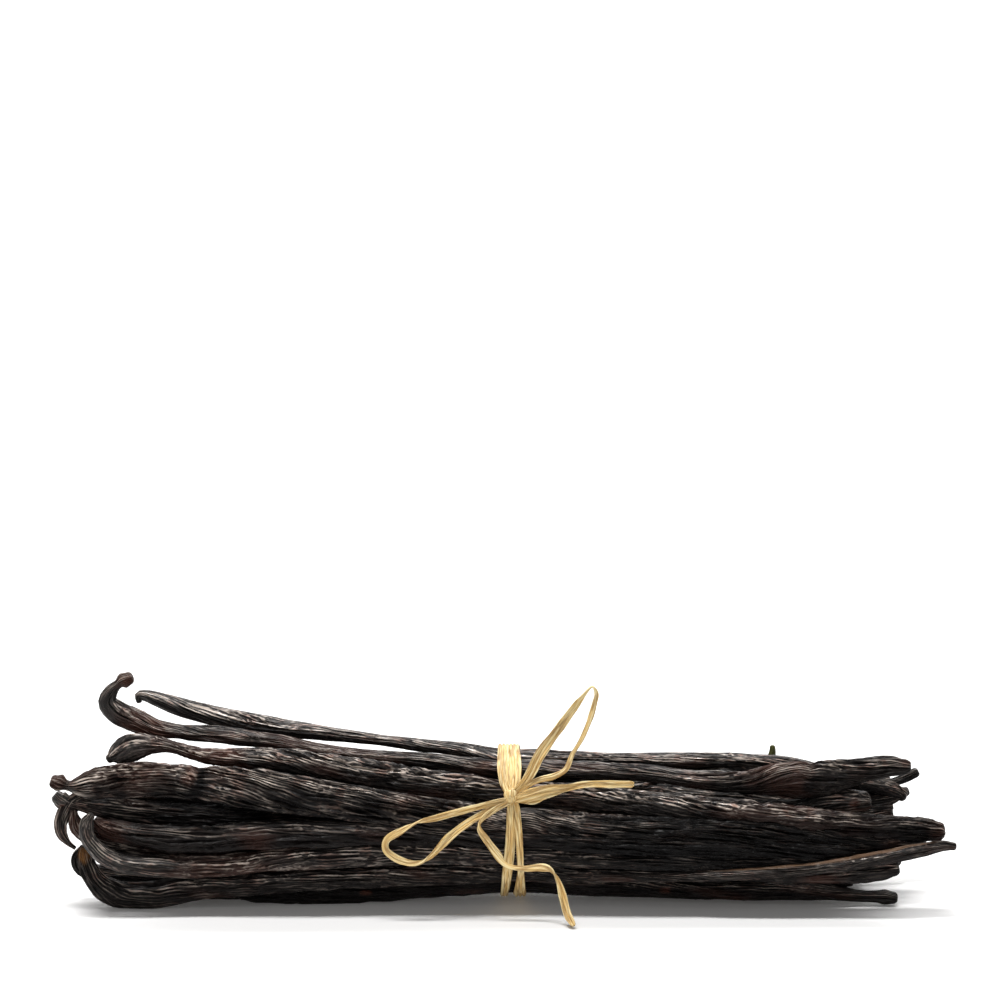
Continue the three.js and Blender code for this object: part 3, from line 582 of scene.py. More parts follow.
class PodSettings(PropertyGroup):
    """Skin and mesh of the pods."""

    columns: IntProperty(
        name="Columns", description="Faces round a pod that shows at the front",
        default=128, min=16, max=256,
    )
    back_columns: IntProperty(
        name="Back columns", description="Faces round a pod at the back or in the middle",
        default=52, min=12, max=128,
    )
    ring_step: length_setting(
        "Ring step", "Longest stretch between two rings of a front pod", 1.0 * MM,
    )
    back_ring_step: length_setting(
        "Back ring step", "Longest stretch between two rings of a back pod", 1.8 * MM,
    )
    wrinkles: FloatProperty(
        name="Wrinkles", description="Strength of the ridges of the shrunken skin",
        default=1.0, min=0.0, max=2.0, subtype="FACTOR",
    )
    skin: colour_setting("Skin", "Near-black brown of the cured skin", (0.0085, 0.0068, 0.0064))
    rust: colour_setting(
        "Rust", "Reddish brown of creases, knobs and crests", (0.075, 0.027, 0.017),
    )
    ash: colour_setting("Ash", "Greyish bloom of dry skin", (0.075, 0.072, 0.07))
    # The rim that this colours is a painted highlight along a pod's top edge
    tan: colour_setting("Tan", "Light brown of a pod's rim", (0.2, 0.115, 0.065))
    amber: colour_setting("Amber", "Torn skin at a pod's end", (0.24, 0.11, 0.033))
    green: colour_setting("Green", "A tip that stayed green", (0.13, 0.135, 0.045))
    # Black of the painted shade under and between the pods and in creases, and of dark skin at a
    # few ends
    shade_and_dark_skin: colour_setting("Shade_and_dark_skin", "Black skin without worn crests", (0.0028, 0.0024, 0.0025))
    # Painted shade in the grooves between the ridges
    groove: colour_setting("Groove", "Depths between the ridges", (0.0015, 0.0012, 0.0012))
    # Painted highlight on the crest lines
    crest: colour_setting("Crest", "Highlit crests of the ridges", (0.6, 0.5, 0.425))
    # Painted highlight on the crest lines where the skin is redder
    fox: colour_setting("Fox", "Highlit crests where the skin is redder", (0.36, 0.17, 0.12))


class RaffiaSettings(PropertyGroup):
    """Fibre and mesh of the raffia."""

    thickness: length_setting("Thickness", "Thickness of a strand", 0.2 * MM)
    columns: IntProperty(
        name="Columns", description="Faces across a strand", default=22, min=4, max=64,
    )
    ring_step: length_setting(
        "Ring step", "Longest stretch between two rows of a strand", 0.35 * MM,
    )
    straw: colour_setting("Straw", "Main colour of the fibre", (0.72, 0.49, 0.19))
    pale: colour_setting("Pale", "Bleached streaks", (0.88, 0.73, 0.4))
    # Also the colour of the painted shade in the folds
    tan: colour_setting("Tan", "Dark streaks and folds", (0.3, 0.155, 0.045))


class StageSettings(PropertyGroup):
    """Floor and light."""

    floor: colour_setting("Floor", "Colour of the floor", (0.88, 0.875, 0.87))
    top_light: power_setting("Top light", "Power of the large soft light", 4.6)
    front_light: power_setting("Front light", "Power of the weak light from the front", 2.0)
    back_light: power_setting("Back light", "Power of the light behind the bundle", 2.5)
    wall_light: power_setting("Wall light", "Power of the light on the far wall", 34.0)
    air: FloatProperty(
        name="Air", description="Strength of the light from all round", default=0.12, min=0.0,
    )


# ---- Numbers and curves ----

# The even draws that the solids use too
DRAW_FACTOR = 16807
DRAW_MODULUS = 2147483647
# What brings a drift up to about -1 to 1
DRIFT_GAIN = 1.7
# How steeply a crest falls to its sides, and how round its top is
CREST_FALL = 3.2
CREST_ROUNDING = 0.004
# Places along a line that its stations are picked from
STATION_CHOICES = 4000


def mix(first, second, share):
    return first + (second - first) * share


def smooth(share):
    held = np.clip(share, 0.0, 1.0)
    return held * held * (3 - 2 * held)


def rise(value, start, reach):
    """From 0 at the start to 1 where the reach ends, smoothly."""
    return smooth((value - start) / reach)


def in_frame(places):
    """Millimetres in the tie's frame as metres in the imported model's frame."""
    return (np.asarray(places, float) + TIE) * MM


def seeded_draws(seed):
    """The same draws every time, from 0 to 1."""
    state = seed
    while True:
        state = (state * DRAW_FACTOR) % DRAW_MODULUS
        yield state / DRAW_MODULUS


def quintic(share):
    return share * share * share * (share * (share * 6 - 15) + 10)


def drift(seed, turns, along, cells, run):
    """Gradient noise of about -1 to 1 over turns round a pod and mm along it.

    It has a number of cells round the pod, closes after one turn, and changes over run mm.
    """
    draws = np.random.default_rng(seed)
    rows = int(along.max() / run) + 2
    lean = draws.uniform(0, 2 * pi, (rows + 1, cells))
    across = np.mod(turns, 1.0) * cells
    down = along / run
    column = np.floor(across).astype(int)
    row = np.floor(down).astype(int)
    x = across - column
    y = down - row

    def corner(right, lower):
        angle = lean[row + lower, (column + right) % cells]
        return np.cos(angle) * (x - right) + np.sin(angle) * (y - lower)

    upper = mix(corner(0, 0), corner(1, 0), quintic(x))
    lower = mix(corner(0, 1), corner(1, 1), quintic(x))
    return DRIFT_GAIN * mix(upper, lower, quintic(y))


def crests(field):
    """Narrow crests where a drift passes through zero, from about -1 to 1."""
    return 1 - CREST_FALL * np.sqrt(field * field + CREST_ROUNDING)


def zigzag(wave):
    """Straight folds from -1 to 1, one for each whole step of the wave."""
    return 2 * np.abs(2 * (wave - np.floor(wave + 0.5))) - 1


def sway(along, size, period, phase):
    return size * np.sin(along / period + phase)


def spline(route, step):
    """A centripetal Catmull-Rom curve through route points of x, y, z and other values."""
    route = np.asarray(route, float)
    whole = np.vstack((2 * route[0] - route[1], route, 2 * route[-1] - route[-2]))
    gaps = np.linalg.norm(np.diff(whole[:, :3], axis=0), axis=1) ** 0.5
    spans = []
    for i in range(len(route) - 1):
        p0, p1, p2, p3 = whole[i:i + 4]
        g0, g1, g2 = gaps[i:i + 3]
        start = ((p1 - p0) / g0 - (p2 - p0) / (g0 + g1) + (p2 - p1) / g1) * g1
        end = ((p2 - p1) / g1 - (p3 - p1) / (g1 + g2) + (p3 - p2) / g2) * g1
        parts = max(1, round(g1 * g1 / step))
        t = (np.arange(parts) / parts)[:, None]
        square = -3 * p1 + 3 * p2 - 2 * start - end
        cube = 2 * p1 - 2 * p2 + start + end
        spans.append(p1 + start * t + square * t ** 2 + cube * t ** 3)
    spans.append(route[-1:])
    return np.vstack(spans)


def travelled(points):
    """Distance from the start of a line of points to each of them."""
    steps = np.linalg.norm(np.diff(points, axis=0), axis=1)
    return np.concatenate(((0.0,), np.cumsum(steps)))


def sampled(line, reached, along):
    """Rows of a line at places along it, from how far each of its own rows reached."""
    return np.column_stack([np.interp(along, reached, column) for column in line.T])


def stations(length, step, end_step, end_length):
    """Places along a length, a step apart, and closer near its ends."""
    choices = np.linspace(0, length, STATION_CHOICES)
    from_end = np.minimum(choices, length - choices)
    density = 1 / mix(end_step, step, smooth(from_end / end_length))
    passed = (density[1:] + density[:-1]) / 2 * np.diff(choices)
    count = np.concatenate(((0.0,), np.cumsum(passed)))
    rings = int(np.ceil(count[-1])) + 1
    return np.interp(np.linspace(0, count[-1], rings), count, choices)


def grid(along, first, last, columns):
    """Place along a piece and place across it, for every vertex of its grid."""
    return np.meshgrid(along, np.linspace(first, last, columns + 1), indexing="ij")


def section_axes(centres):
    """Tangent, side and face of each ring. The face starts out looking to the back."""
    tangents = np.gradient(centres, axis=0)
    tangents /= np.linalg.norm(tangents, axis=1)[:, None]
    face = np.array((0.0, 1.0, 0.0))
    faces = []
    for tangent in tangents:
        face = face - tangent * face.dot(tangent)
        face = face / np.linalg.norm(face)
        faces.append(face)
    faces = np.array(faces)
    return tangents, np.cross(tangents, faces), faces


def pushed_out(centres, sides, faces, push_side, push_face, lowest):
    """Places pushed out from the rings' centres along their axes, and kept off the ground."""
    places = (
        centres[:, None, :]
        + push_side[..., None] * sides[:, None, :]
        + push_face[..., None] * faces[:, None, :]
    )
    places[..., 2] = np.maximum(places[..., 2], lowest)
    return places


def waist_at(angle, outset):
    """Point of the waist's outline in Y and Z, and its outward direction."""
    turn = radians(angle)
    outward = np.array((0.0, cos(turn) / WAIST["half_depth"], sin(turn) / WAIST["half_height"]))
    outward /= np.linalg.norm(outward)
    point = np.array((
        0.0, WAIST["half_depth"] * cos(turn), WAIST["centre"] + WAIST["half_height"] * sin(turn),
    ))
    return point + outward * outset, outward


# ---- Pods ----


def pod_depth(width, from_end):
    deepest = mix(POD_END_DEEPEST, POD_DEEPEST, smooth(from_end / POD_END_LENGTH))
    return np.minimum(POD_SECTION / width, deepest * width)


def pod_route(pod):
    """The whole route of a pod, through its place at the waist."""
    depth = float(pod_depth(pod["width"], POD_END_LENGTH))
    outward = waist_at(pod["angle"], 0)[1]
    reach = hypot(outward[1] * depth, outward[2] * pod["width"]) / 2
    point = waist_at(pod["angle"], -reach - pod["inset"])[0]
    waist = [(x, point[1], point[2], pod["width"]) for x in (-WAIST_HALF_LENGTH, WAIST_HALF_LENGTH)]
    return [*pod["left"], *waist, *pod["right"]]


def fanned_pods(rule):
    """Pods that fan out evenly from the waist, each a little different."""
    draws = seeded_draws(rule["seed"])

    def spread(amount):
        return (next(draws) * 2 - 1) * amount

    def half(side, end, held, angle, width, waist):
        reach = (end["reach"] + spread(rule["reach_spread"])) * held.get(angle, 1)
        turn = radians(angle)
        y = end["half_depth"] * cos(turn) + spread(rule["place_spread"])
        z = end["centre"] + end["half_height"] * sin(turn) + spread(rule["place_spread"])
        curl = spread(rule["curl_spread"])
        points = []
        for share, curled, size in FAN_RINGS:
            fanned = float(smooth(share * FAN_HASTE))
            height = mix(waist[2], z, fanned) + curl * curled
            lowest = rule["pressed"] * width * size
            points.append((
                side * reach * share, mix(waist[1], y, fanned), max(height, lowest), width * size,
            ))
        return points

    pods = []
    for number, angle in enumerate(rule["angles"]):
        width = rule["width"] + spread(rule["width_spread"])
        waist = waist_at(angle, -rule["inset"] - width / 2)[0]
        left = half(-1, rule["left"], rule["left_held"], angle, width, waist)
        right = half(1, rule["right"], rule["right_held"], angle, width, waist)[::-1]
        pods.append({
            "name": f"fanned pod {rule['seed']}-{number}", "angle": angle,
            "inset": rule["inset"], "width": width, "left": left, "right": right,
            "ridges": 14 + number % 4, "run": 12 + 3 * (number % 3),
            "red": 0.15 + 0.1 * (number % 3), **FAN_SKIN,
        })
    return pods


def near(centres, along, x, z):
    """How far along a pod its point nearest to x, z lies, seen from the front."""
    gaps = (centres[:, 0] - x) ** 2 + (centres[:, 2] - z) ** 2
    return along[int(np.argmin(gaps))]


def ring_table(pod, step):
    """Centre, axes, width, depth, place along and share of the full size of each ring."""
    line = spline(pod_route(pod), POD_ROUTE_STEP)
    reached = travelled(line)
    length = reached[-1]
    along = stations(length, step, min(step, POD_END_STEP["step"]), POD_END_STEP["reach"])
    table = sampled(line, reached, along)
    centres, width = table[:, :3], np.maximum(table[:, 3], POD_NARROWEST)
    for x, z, reach, share in pod.get("pinches", ()):
        at = near(centres, along, x, z)
        width = width * (1 - share * np.exp(-((along - at) / reach) ** 2))
    tangents, sides, faces = section_axes(centres)
    from_end = np.minimum(along, length - along)
    depth = pod_depth(width, from_end)
    width = width * (1 - POD_END_TAPER["share"] * (1 - smooth(from_end / POD_END_TAPER["reach"])))
    body = {
        "centres": centres, "sides": sides, "faces": faces, "width": width, "depth": depth,
        "along": along, "size": np.ones(len(along)),
    }
    # Rounded ends: rings that shrink to a point past the last ring, with a dented scar
    turn = np.linspace(0, pi / 2, POD_CAP["rings"] + 1)[1:]
    size = np.cos(turn) ** POD_CAP["bluntness"]
    size[-1] = 0.0
    out = np.sin(turn) - POD_CAP["dent"] * np.exp(-(size / POD_CAP["scar"]) ** 2)
    caps = []
    for end, way in ((0, -1), (-1, 1)):
        cap = {key: np.repeat(values[end:][:1], len(turn), 0) for key, values in body.items()}
        shift = way * POD_END_CAP * width[end] * out
        cap["centres"] = cap["centres"] + shift[:, None] * tangents[end]
        cap["along"] = cap["along"] + shift
        cap["size"] = size
        caps.append(cap)
    rings = {
        key: np.concatenate((caps[0][key][::-1], values, caps[1][key]))
        for key, values in body.items()
    }
    rings["along"] = rings["along"] - rings["along"][0]
    return rings


def pod_twist(pod, rings):
    """How far the columns have turned at each ring, so that they follow leaning ridges.

    The length of a pod's name and its angle seed the draws.
    """
    draws = np.random.default_rng(len(pod["name"]) * 31 + pod["angle"])
    along = rings["along"]
    radius = (rings["width"] + rings["depth"]) / 4
    lean = np.full(len(along), draws.uniform(-POD_LEAN["steady"], POD_LEAN["steady"]))
    period, phase = draws.uniform(*POD_LEAN["periods"]), draws.uniform(0, 2 * pi)
    lean += sway(along, POD_LEAN["sway"], period, phase)
    for x, z, degrees, reach in pod.get("slants", ()):
        at = near(rings["centres"], along, x, z)
        lean += degrees * np.exp(-((along - at) / reach) ** 2)
    rate = np.tan(np.radians(lean)) / radius
    steps = np.diff(along) * (rate[1:] + rate[:-1]) / 2
    return np.concatenate(((0.0,), np.cumsum(steps)))


def skin_relief(pod, seed, wander, reach, over):
    """How far the skin stands out in mm, and how near a ridge's crest it is."""
    run, depth = pod["run"], pod["depth"]
    flutes = drift(seed + FLUTES["seed"], wander, reach, FLUTES["cells"], FLUTES["run"] * run)
    broad, narrow = (
        crests(drift(
            seed + kind["seed"], wander, reach, round(kind["cells"] * pod["ridges"]),
            kind["run"] * run,
        ))
        for kind in (BROAD_RIDGES, NARROW_RIDGES)
    )
    patch, fine_patch = smooth(over("patch")), smooth(over("fine_patch"))
    raised = BROAD_RIDGES["height"] * depth * mix(*BROAD_RIDGES["patches"], patch) * broad
    raised += NARROW_RIDGES["height"] * depth * mix(*NARROW_RIDGES["patches"], fine_patch) * narrow
    raised += FLUTES["height"] * depth * flutes + LUMP_HEIGHT * depth * over("lumps")
    crest = np.maximum(
        broad * mix(BROAD_RIDGES["quiet_crest"], 1, patch),
        narrow * mix(NARROW_RIDGES["quiet_crest"], 1, fine_patch),
    )
    return raised, crest


def pod_surface(pod, number, columns, step, settings):
    """Vertex places of a pod, ring by ring, with what its skin's material reads."""
    rings = ring_table(pod, step)
    reach, turns = grid(rings["along"], 0, 1, columns)
    # Far enough from the next pod's seed for all of its drifts
    seed = 100 * number + 17

    def over(name):
        """One of the skin's drifts, laid over this pod."""
        middle, strength, shift, cells, run = DRIFTS[name]
        return middle + strength * drift(seed + shift, turns, reach, cells, run)

    wander = turns + over("wander") + over("waver")
    raised, crest = skin_relief(pod, seed, wander, reach, over)
    width, depth, size = (rings[key][:, None] for key in ("width", "depth", "size"))
    # The skin is stretched tight where the tie squeezes the pods
    from_tie = np.abs(rings["centres"][:, :1])
    held = mix(TIED["relief"], 1.0, rise(from_tie, TIED["half_length"], TIED["fade"]))
    scale = np.clip(width / RELIEF_WIDTH, *RELIEF_SCALES)
    raised = raised * settings.wrinkles * held * scale * (size ** RELIEF_FADE)

    phi = 2 * pi * turns + pod_twist(pod, rings)[:, None]
    size = size * (1 + over("uneven") * held)
    normal_side = np.cos(phi) / (width / 2)
    normal_face = np.sin(phi) / (depth / 2)
    steepness = np.hypot(normal_side, normal_face)
    places = pushed_out(
        rings["centres"], rings["sides"], rings["faces"],
        np.cos(phi) * (width / 2) * size + raised * normal_side / steepness,
        np.sin(phi) * (depth / 2) * size + raised * normal_face / steepness, POD_LOWEST,
    )
    upward = (
        normal_side * rings["sides"][:, 2:] + normal_face * rings["faces"][:, 2:]
    ) / steepness
    colours, painted_highlight = pod_tint_and_painted_light(pod, places, upward, over, settings)
    # Painted highlight: more of it on skin that looks up, and less on what looks straight up
    flank = pod.get("flank", PAINTED_HIGHLIGHT["flank"])
    painted_highlight = painted_highlight * mix(flank, PAINTED_HIGHLIGHT["upward"], rise(upward, *PAINTED_HIGHLIGHT["upward_rise"]))
    painted_highlight = painted_highlight * (1 - PAINTED_HIGHLIGHT["level_loss"] * rise(upward, *PAINTED_HIGHLIGHT["level_rise"]))
    lines = round(pi * rings["width"].max() / LINE_SPACING)
    turned = 2 * pi * wander
    marks = {
        "skin_place": np.stack((
            SKIN_RADIUS * np.cos(turned), SKIN_RADIUS * np.sin(turned), reach + SKIN_SHIFT * number,
        ), -1),
        "skin_crest": smooth(0.5 + 0.5 * crest),
        "skin_wear": painted_highlight,
        "skin_lines": np.full(reach.shape, lines),
        "skin_tint": opaque(colours),
    }
    return places, marks


def pod_tint_and_painted_light(pod, places, upward, over, settings):
    """Colour of the skin before the material's own fine changes, with its painted shade and painted
    rim highlight, and how strong the painted highlight on its crests is.
    """
    x, z = places[..., 0], places[..., 2]

    def laid(under, colour, share):
        return mix(under, np.array(getattr(settings, colour)), share[..., None])

    colours = np.broadcast_to(np.array(settings.skin), places.shape)
    reddened = smooth(pod["red"] - REDDISH["passed"] + over("reddened"))
    colours = laid(colours, "rust", REDDISH["strength"] * reddened)
    colours = laid(colours, "ash", GREYISH_STRENGTH * smooth(over("greyed")))
    ragged = over("ragged")
    painted_highlight = np.full(x.shape, pod.get("painted_highlight", 1.0))
    for stain_x, stain_z, size, colour, strength in pod.get("stains", ()):
        gap = np.hypot(x - stain_x, z - stain_z)
        share = strength * (1 - rise(gap * ragged, STAIN["whole"] * size, STAIN["fade"] * size))
        colours = laid(colours, colour, share)
        # Painted shade also takes away the painted highlight on the crests
        if colour == "shade_and_dark_skin":
            painted_highlight = painted_highlight * (1 - share)
    # A painted highlight along the pod's top edge, where the skin looks up
    if "rim" in pod:
        first, last, colour, strength = pod["rim"]
        share = strength * rise(x, first, PAINTED_RIM["fade_in"]) * smooth((last - x) / PAINTED_RIM["fade_out"])
        colours = laid(colours, colour, share * rise(upward, PAINTED_RIM["upward"], PAINTED_RIM["edge"]))
    return colours, painted_highlight


# ---- Meshes ----

MARK_TYPES = {1: ("FLOAT", "value"), 3: ("FLOAT_VECTOR", "vector"), 4: ("FLOAT_COLOR", "color")}
# Rims of grids closer than this meet, in metres
WELD_GAP = 1e-7


def opaque(colours):
    return np.concatenate((colours, np.ones(colours.shape[:2] + (1,))), -1)


def laid_grids(name, surfaces):
    """One mesh of grids, each laid on its surface's places, with the surface's marks."""
    bm = bmesh.new()
    for level, (places, _) in enumerate(surfaces):
        rows, columns = places.shape[:2]
        bmesh.ops.create_grid(
            bm, x_segments=columns - 1, y_segments=rows - 1, size=1.0,
            matrix=Matrix.Translation((0, 0, level)),
        )
    mesh = bpy.data.meshes.new(name)
    bm.to_mesh(mesh)
    bm.free()
    flat = np.empty(len(mesh.vertices) * 3)
    mesh.vertices.foreach_get("co", flat)
    flat = flat.reshape(-1, 3)
    laid = np.empty_like(flat)
    marked = {}
    for level, (places, marks) in enumerate(surfaces):
        rows, columns = places.shape[:2]
        mine = np.rint(flat[:, 2]).astype(int) == level
        column = np.rint((flat[mine, 0] + 1) / 2 * (columns - 1)).astype(int)
        row = np.rint((flat[mine, 1] + 1) / 2 * (rows - 1)).astype(int)
        laid[mine] = in_frame(places[row, column])
        for mark, values in marks.items():
            picked = values[row, column].reshape(len(row), -1)
            if mark not in marked:
                marked[mark] = np.zeros((len(flat), picked.shape[1]), np.float32)
            marked[mark][mine] = picked
    mesh.vertices.foreach_set("co", laid.ravel())
    for mark, values in marked.items():
        kind, field = MARK_TYPES[values.shape[1]]
        attribute = mesh.attributes.new(mark, kind, "POINT")
        attribute.data.foreach_set(field, values.ravel())
    return mesh


def close_seams(mesh, solid):
    """Welds rims that meet, at seams and poles. A solid's faces are turned outwards too."""
    bm = bmesh.new()
    bm.from_mesh(mesh)
    rim = [vertex for vertex in bm.verts if vertex.is_boundary]
    bmesh.ops.remove_doubles(bm, verts=rim, dist=WELD_GAP)
    if solid:
        bmesh.ops.recalc_face_normals(bm, faces=bm.faces)
    bm.to_mesh(mesh)
    bm.free()


def finish_piece(name, mesh, material, node):
    """A smooth-shaded piece of the bundle that stands for a node of the solids."""
    mesh.shade_smooth()
    mesh.materials.append(material)
    piece = bpy.data.objects.new(name, mesh)
    bpy.context.scene.collection.objects.link(piece)
    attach(piece, "root")
    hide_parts(node)
    return piece


def skinned_piece(name, surfaces, settings):
    """One piece of solid bodies in the pods' skin."""
    mesh = laid_grids(name, surfaces)
    close_seams(mesh, solid=True)
    material = made_once("vanilla_skin", pod_material, settings)
    return finish_piece(name, mesh, material, "vanilla_pods")


def pods_piece(name, pods, first_number, columns, step, settings):
    """One piece of several pods."""
    surfaces = [
        pod_surface(pod, first_number + i, columns, step / MM, settings)
        for i, pod in enumerate(pods)
    ]
    return skinned_piece(name, surfaces, settings)


def heart_surface(settings):
    """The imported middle: a solid whose flutes look like pods lying side by side."""
    share = np.linspace(0, 1, HEART_GRID["rings"])
    steps = np.linspace(0, 1, len(HEART["centre"]))
    half_depth, half_height, centre = (
        np.interp(share, steps, HEART[key])[:, None]
        for key in ("half_depth", "half_height", "centre")
    )
    x = mix(HEART["left"], HEART["right"], share)
    reach, turns = grid(x - HEART["left"], 0, 1, HEART_GRID["columns"])
    seed, form = HEART_SKIN["seed"], HEART_FORM
    wander = turns + form["wander"] * drift(seed, turns, reach, *HEART_DRIFTS["wander"])
    flutes = np.abs(np.sin(form["flutes"] * pi * wander))
    ridged = crests(drift(seed + 1, wander, reach, *HEART_DRIFTS["ridges"]))
    # The first and the last ring close the ends
    size = np.ones((len(share), 1))
    size[0] = size[-1] = 0.0
    grown = size * (form["groove"] + form["flute"] * flutes + form["ridge"] * ridged)
    phi = 2 * pi * turns
    places = np.stack((
        np.broadcast_to(x[:, None], reach.shape), half_depth * np.cos(phi) * grown,
        centre + half_height * np.sin(phi) * grown,
    ), -1)
    radius = HEART_SKIN["radius"]
    marks = {
        "skin_place": np.stack((radius * np.cos(phi), radius * np.sin(phi), reach), -1),
        "skin_crest": smooth(0.5 + 0.4 * ridged),
        "skin_wear": np.full(reach.shape, HEART_SKIN["painted_highlight"]),
        "skin_lines": np.full(reach.shape, HEART_SKIN["lines"]),
        "skin_tint": opaque(np.broadcast_to(np.array(settings.skin), places.shape)),
    }
    return places, marks


# ---- Raffia ----


def pleats(across, along, seed, folds, width):
    """How far a strand's surface stands off its middle plane, in mm."""
    draws = np.random.default_rng(seed)
    phases = draws.uniform(0, 2 * pi, 6)
    shift = sway(along, *PLEAT_SHIFTS[0], phases[0]) + sway(along, *PLEAT_SHIFTS[1], phases[1])
    fold = zigzag(across * folds / 2 + shift + phases[2])
    small = np.sin(2 * pi * (across * folds * 1.7 + phases[3]) + along / 5.0)
    rim = np.abs(across) ** 5
    height = PLEATS["fold"] / folds ** 0.5
    return width * (height * fold + PLEATS["small"] * small - PLEATS["rim"] * rim)


def strand_marks(across, reach, off, width, seed):
    """What the raffia's material reads: place on the strand, in mm, and depth of its folds, where
    it paints shade.
    """
    place = np.stack((across, reach, np.full(reach.shape, FIBRE_SHIFT * seed)), -1)
    fold = np.clip(0.5 + off / (FOLD_SHADE_DEPTH * width), 0, 1)
    return {"fibre_place": place, "fibre_fold": fold}


def strand_surface(route, seed, folds, settings):
    """Places of a flat strand along a route, rolled about itself as the route says."""
    line = spline(route, STRAND_ROUTE_STEP)
    reached = travelled(line[:, :3])
    along = np.linspace(0, reached[-1], int(reached[-1] / (settings.ring_step / MM)) + 1)
    table = sampled(line, reached, along)
    sides, faces = section_axes(table[:, :3])[1:]
    reach, across = grid(along, -1, 1, settings.columns)
    draws = np.random.default_rng(seed + 50)
    phases = draws.uniform(0, 2 * pi, 3)
    swell = 1 + sway(along, *STRAND_SWELLS[0], phases[0])
    swell += sway(along, *STRAND_SWELLS[1], phases[1])
    # A cut end is a little rounded
    from_end = np.minimum(along, along[-1] - along)
    inside = np.clip(from_end / CUT_END["reach"], 0, 1)
    swell *= mix(CUT_END["share"], 1.0, np.sqrt(1 - (1 - inside) ** 2))
    width = (table[:, 3] * swell)[:, None]
    roll = np.radians(table[:, 4] + sway(along, *STRAND_ROLL, phases[2]))[:, None]
    flat = across * width / 2
    # A strand's two rims curl towards each other a little
    off = pleats(across, reach, seed, folds, width) - RIM_CURL * width * across ** 2
    places = pushed_out(
        table[:, :3], sides, faces, flat * np.cos(roll) - off * np.sin(roll),
        flat * np.sin(roll) + off * np.cos(roll), STRAND_LOWEST,
    )
    return places, strand_marks(flat, reach, off, width, seed)


def turn_surface(table, seed, folds, settings):
    """Places of one turn round the waist, from its middle and width at each angle."""
    degrees, middles, widths = np.array(table).T
    angles = np.arange(361)
    half = len(TURN_BLUR) // 2

    def even(values):
        """The values at every degree, with the corners between them rounded."""
        each = np.interp(angles[:-1], degrees, values)
        blurred = np.convolve(np.concatenate((each[-half:], each, each[:half])), TURN_BLUR, "valid")
        return np.append(blurred, blurred[0])[:, None]

    middle, width = even(middles), even(widths)
    points, outwards = (
        np.array(part) for part in zip(*(waist_at(angle, TURN_OUTSET) for angle in angles))
    )
    reach, across = grid(travelled(points), -1, 1, settings.columns)
    # The pleats repeat after one turn round the waist
    around = reach / reach.max() * 2 * pi
    draws = np.random.default_rng(seed)
    phases = draws.uniform(0, 2 * pi, 4)
    fold = zigzag(across * folds / 2 + 0.25 * np.sin(2 * around + phases[0]) + phases[1])
    ripple = np.sin(2 * pi * across * folds * 1.3 + phases[2] + 3 * around)
    off = TURN_PLEATS["fold"] * width * fold + TURN_PLEATS["ripple"] * width * ripple
    off -= TURN_RIM_PRESS * np.abs(across) ** 4
    flat = across * width / 2
    places = points[:, None, :] + off[..., None] * outwards[:, None, :]
    places[..., 0] = middle + flat
    return places, strand_marks(flat, reach, -off, width, seed)


def knot_wrap(centre, half_width, half_height, half_depth, tilt, seed, settings):
    """A strand wound once round the knot, closed on itself."""
    turns, across = grid(np.linspace(0, 2 * pi, WRAP["rings"]), -1, 1, settings.columns)
    fold = 0.07 * np.sin(5 * pi * across + 2 * np.sin(turns)) + 0.03 * np.sin(11 * across + turns)
    radius = 1 - WRAP["bulge"] * across ** 2 + fold
    lean = WRAP["lean"] * np.sin(turns) * half_height
    local = np.stack((
        across * half_width + lean, -np.cos(turns) * half_depth * radius,
        np.sin(turns) * half_height * radius,
    ), -1)
    places = local @ np.array(Matrix.Rotation(radians(tilt), 3, "Y")).T + np.array(centre)
    reach = turns * (half_height + half_depth) / 2
    return places, strand_marks(across * half_width, reach, -fold, np.ones(fold.shape), seed)


def raffia_piece(name, strands, settings):
    """One piece of raffia strands with their thickness."""
    mesh = laid_grids(name, strands)
    close_seams(mesh, solid=False)
    material = made_once("raffia_fibre", raffia_material, settings)
    piece = finish_piece(name, mesh, material, "raffia_tie")
    wall = piece.modifiers.new("thickness", "SOLIDIFY")
    wall.thickness = settings.thickness
    wall.offset = 0.0
    return piece


# ---- Materials ----


class Wire:
    """A node's output that can be used in sums: each operation adds its Math node."""

    def __init__(self, finish, socket):
        self.finish = finish
        self.socket = socket

    def __add__(self, other):
        return self.finish.maths("ADD", self, other)

    def __radd__(self, other):
        return self.finish.maths("ADD", other, self)

    def __sub__(self, other):
        return self.finish.maths("SUBTRACT", self, other)

    def __rsub__(self, other):
        return self.finish.maths("SUBTRACT", other, self)

    def __mul__(self, other):
        return self.finish.maths("MULTIPLY", self, other)

    def __rmul__(self, other):
        return self.finish.maths("MULTIPLY", other, self)

    def __abs__(self):
        return self.finish.maths("ABSOLUTE", self)


